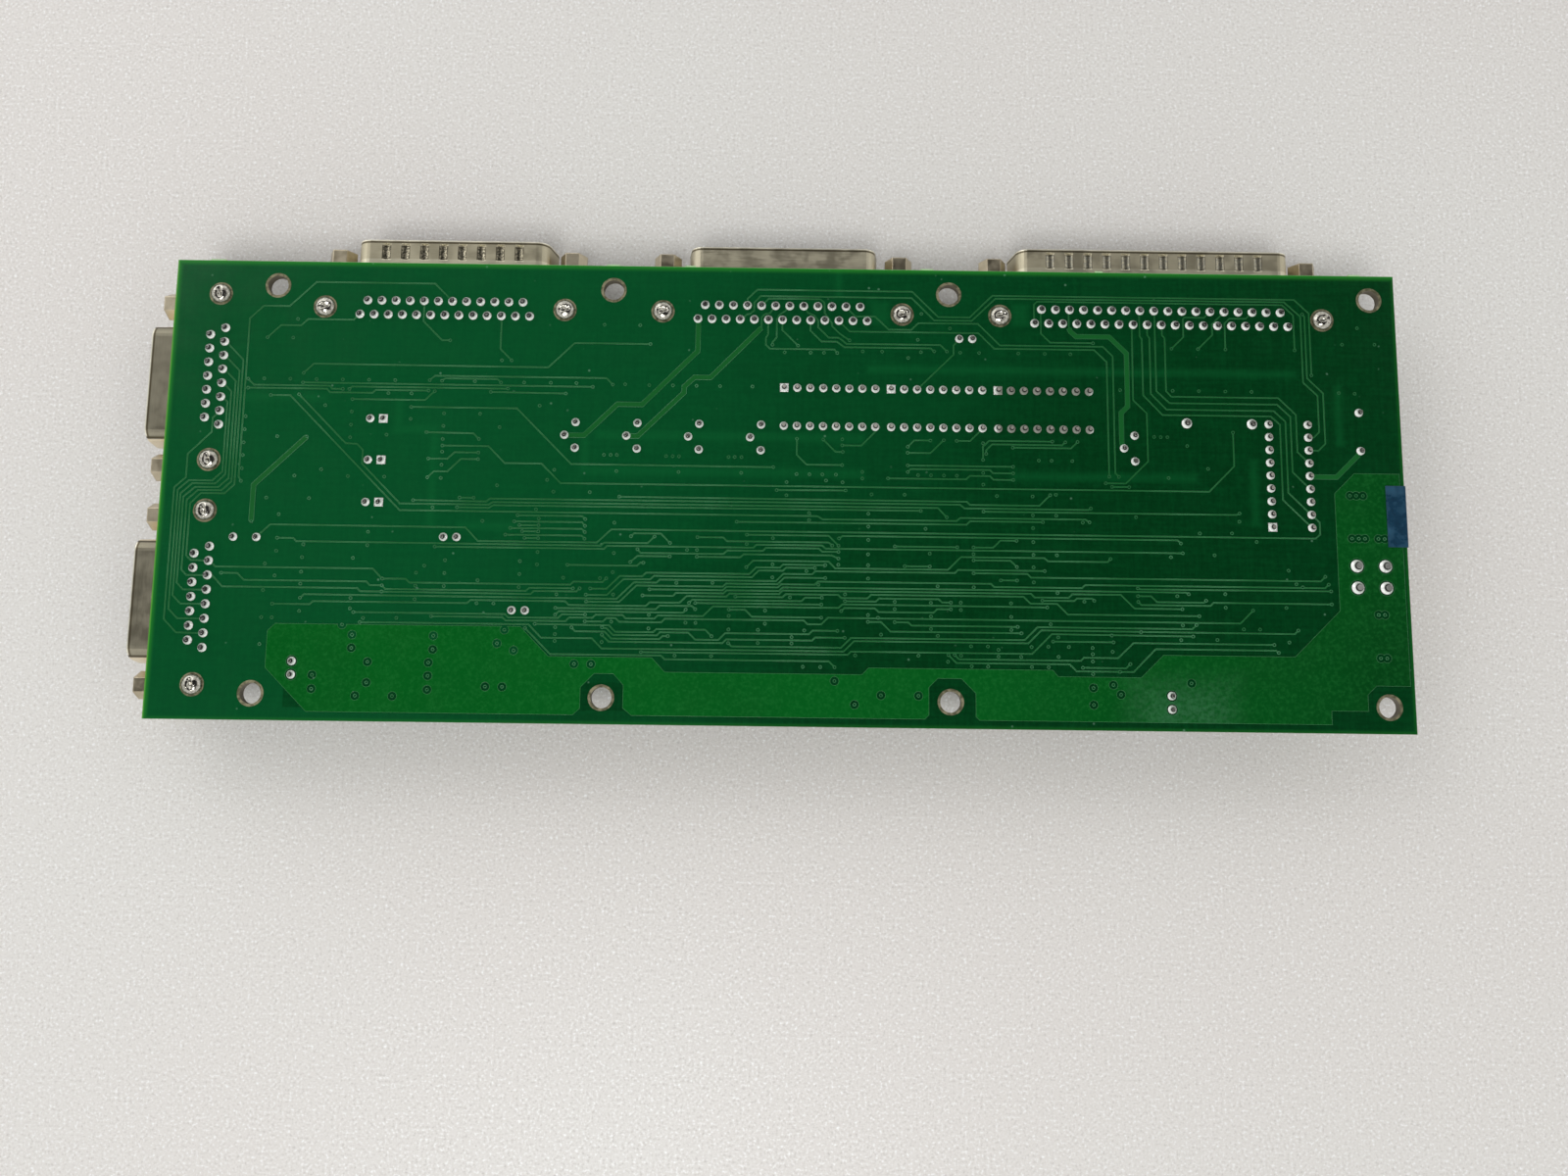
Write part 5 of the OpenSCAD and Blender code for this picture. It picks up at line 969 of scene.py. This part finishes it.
class BOARD_OT_stage(bpy.types.Operator):
    """Adds the pale floor, the soft light and the camera"""

    bl_idname = "board.stage"
    bl_label = "Stage"

    def execute(self, context):
        stage = context.scene.board_stage
        self.add_floor(stage)
        self.add_light(context, stage)
        self.add_camera(context, stage)
        context.scene.view_settings.view_transform = "Standard"
        return {"FINISHED"}

    def add_floor(self, stage):
        """A wide pale sheet with a fine grain, its flecks partly its own speckle and partly painted glints and
        shade.
        """
        deselect()
        bpy.ops.mesh.primitive_plane_add(size=6, location=(0, 0, 0))
        floor = bpy.context.object
        floor.name = "floor"
        f = Finish("pale_sheet", Roughness=0.45)
        grain = f.noise(1.7, 3, 0.7)
        broad = f.noise(0.006, 2)
        tint = f.mix(broad.ramp(0.35, 0.65), tuple(stage.floor), tone(221, 217, 213))
        # Dark and pale flecks: partly the sheet's own speckle, partly painted shade and painted glints of its
        # embossing
        tint = f.mix(grain.ramp(0.48, 0.3), tint, tone(200, 196, 192))
        f.set("Base Color", f.mix(grain.ramp(0.54, 0.68), tint, tone(246, 246, 246)))
        f.set("Roughness", grain.ramp(0.4, 0.7, 0.5, 0.3))
        f.set("Normal", f.bump(grain, 0.12, 0.5))
        floor.data.materials.append(f.material)

    def add_light(self, context, stage):
        """Even light from the sides, dark overhead where the board mirrors it, and two area lights."""
        world = bpy.data.worlds.new("room")
        context.scene.world = world
        world.use_nodes = True
        nodes, links = world.node_tree.nodes, world.node_tree.links
        back = nodes["Background"]
        place = nodes.new("ShaderNodeTexCoord")
        split = nodes.new("ShaderNodeSeparateXYZ")
        links.new(place.outputs["Generated"], split.inputs[0])
        rise = nodes.new("ShaderNodeMapRange")
        rise.interpolation_type = "SMOOTHSTEP"
        for index, value in enumerate(ROOM_FALL, start=1):
            rise.inputs[index].default_value = value
        links.new(split.outputs[2], rise.inputs[0])
        path = nodes.new("ShaderNodeLightPath")
        seen = nodes.new("ShaderNodeMix")
        seen.inputs[3].default_value = ROOM_SEEN
        scaled = nodes.new("ShaderNodeMath")
        scaled.operation = "MULTIPLY"
        scaled.inputs[1].default_value = stage.sky
        links.new(rise.outputs[0], scaled.inputs[0])
        links.new(scaled.outputs[0], seen.inputs[2])
        links.new(path.outputs["Is Camera Ray"], seen.inputs[0])
        links.new(seen.outputs[0], back.inputs["Strength"])
        back.inputs["Color"].default_value = (1, 1, 0.99, 1)

        for name, at, size, power in (
            ("window_light", WINDOW_AT, WINDOW_SIZE, stage.key),
            ("near_light", NEAR_AT, NEAR_SIZE, stage.fill),
        ):
            deselect()
            bpy.ops.object.light_add(type="AREA", location=at)
            lamp = bpy.context.object
            lamp.name = name
            lamp.data.size = size
            lamp.data.energy = power
            lamp.rotation_euler = (-lamp.location).to_track_quat("-Z", "Y").to_euler()

    def add_camera(self, context, stage):
        """The camera above the board, looking down a little aslant."""
        deselect()
        bpy.ops.object.camera_add(location=(CAMERA_X, CAMERA_Y, stage.height))
        camera = bpy.context.object
        camera.name = "camera"
        camera.rotation_euler = [math.radians(a) for a in CAMERA_TURN]
        camera.data.lens = stage.lens
        camera.data.sensor_width = SENSOR_W
        camera.data.clip_start = 0.01
        context.scene.camera = camera


PIECES = (
    BOARD_OT_coat,
    BOARD_OT_solder,
    BOARD_OT_bare_rings,
    BOARD_OT_connectors,
    BOARD_OT_chips,
    BOARD_OT_leaded_parts,
    BOARD_OT_headers,
    BOARD_OT_stage,
)
GROUPS = {"board_colours": BoardColours, "board_trim": BoardTrim, "board_stage": BoardStage}


class BOARD_PT_sidebar(bpy.types.Panel):
    """Lists the steps and what each may change"""

    bl_idname = "BOARD_PT_sidebar"
    bl_label = "Interface board"
    bl_space_type = "VIEW_3D"
    bl_region_type = "UI"
    bl_category = "Board"

    def draw(self, context):
        for step in PIECES:
            self.layout.operator(step.bl_idname)
        for name, group in GROUPS.items():
            box = self.layout.box()
            for field in group.__annotations__:
                box.prop(getattr(context.scene, name), field)


def register():
    for group in GROUPS.values():
        bpy.utils.register_class(group)
    for step in (*PIECES, BOARD_PT_sidebar):
        bpy.utils.register_class(step)
    for name, group in GROUPS.items():
        setattr(bpy.types.Scene, name, bpy.props.PointerProperty(type=group))


def unregister():
    for name in GROUPS:
        delattr(bpy.types.Scene, name)
    for made in (BOARD_PT_sidebar, *reversed(PIECES), *GROUPS.values()):
        bpy.utils.unregister_class(made)


def main():
    """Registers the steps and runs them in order."""
    register()
    for step in PIECES:
        area, _, name = step.bl_idname.partition(".")
        getattr(getattr(bpy.ops, area), name)()


if __name__ == "__main__":
    main()
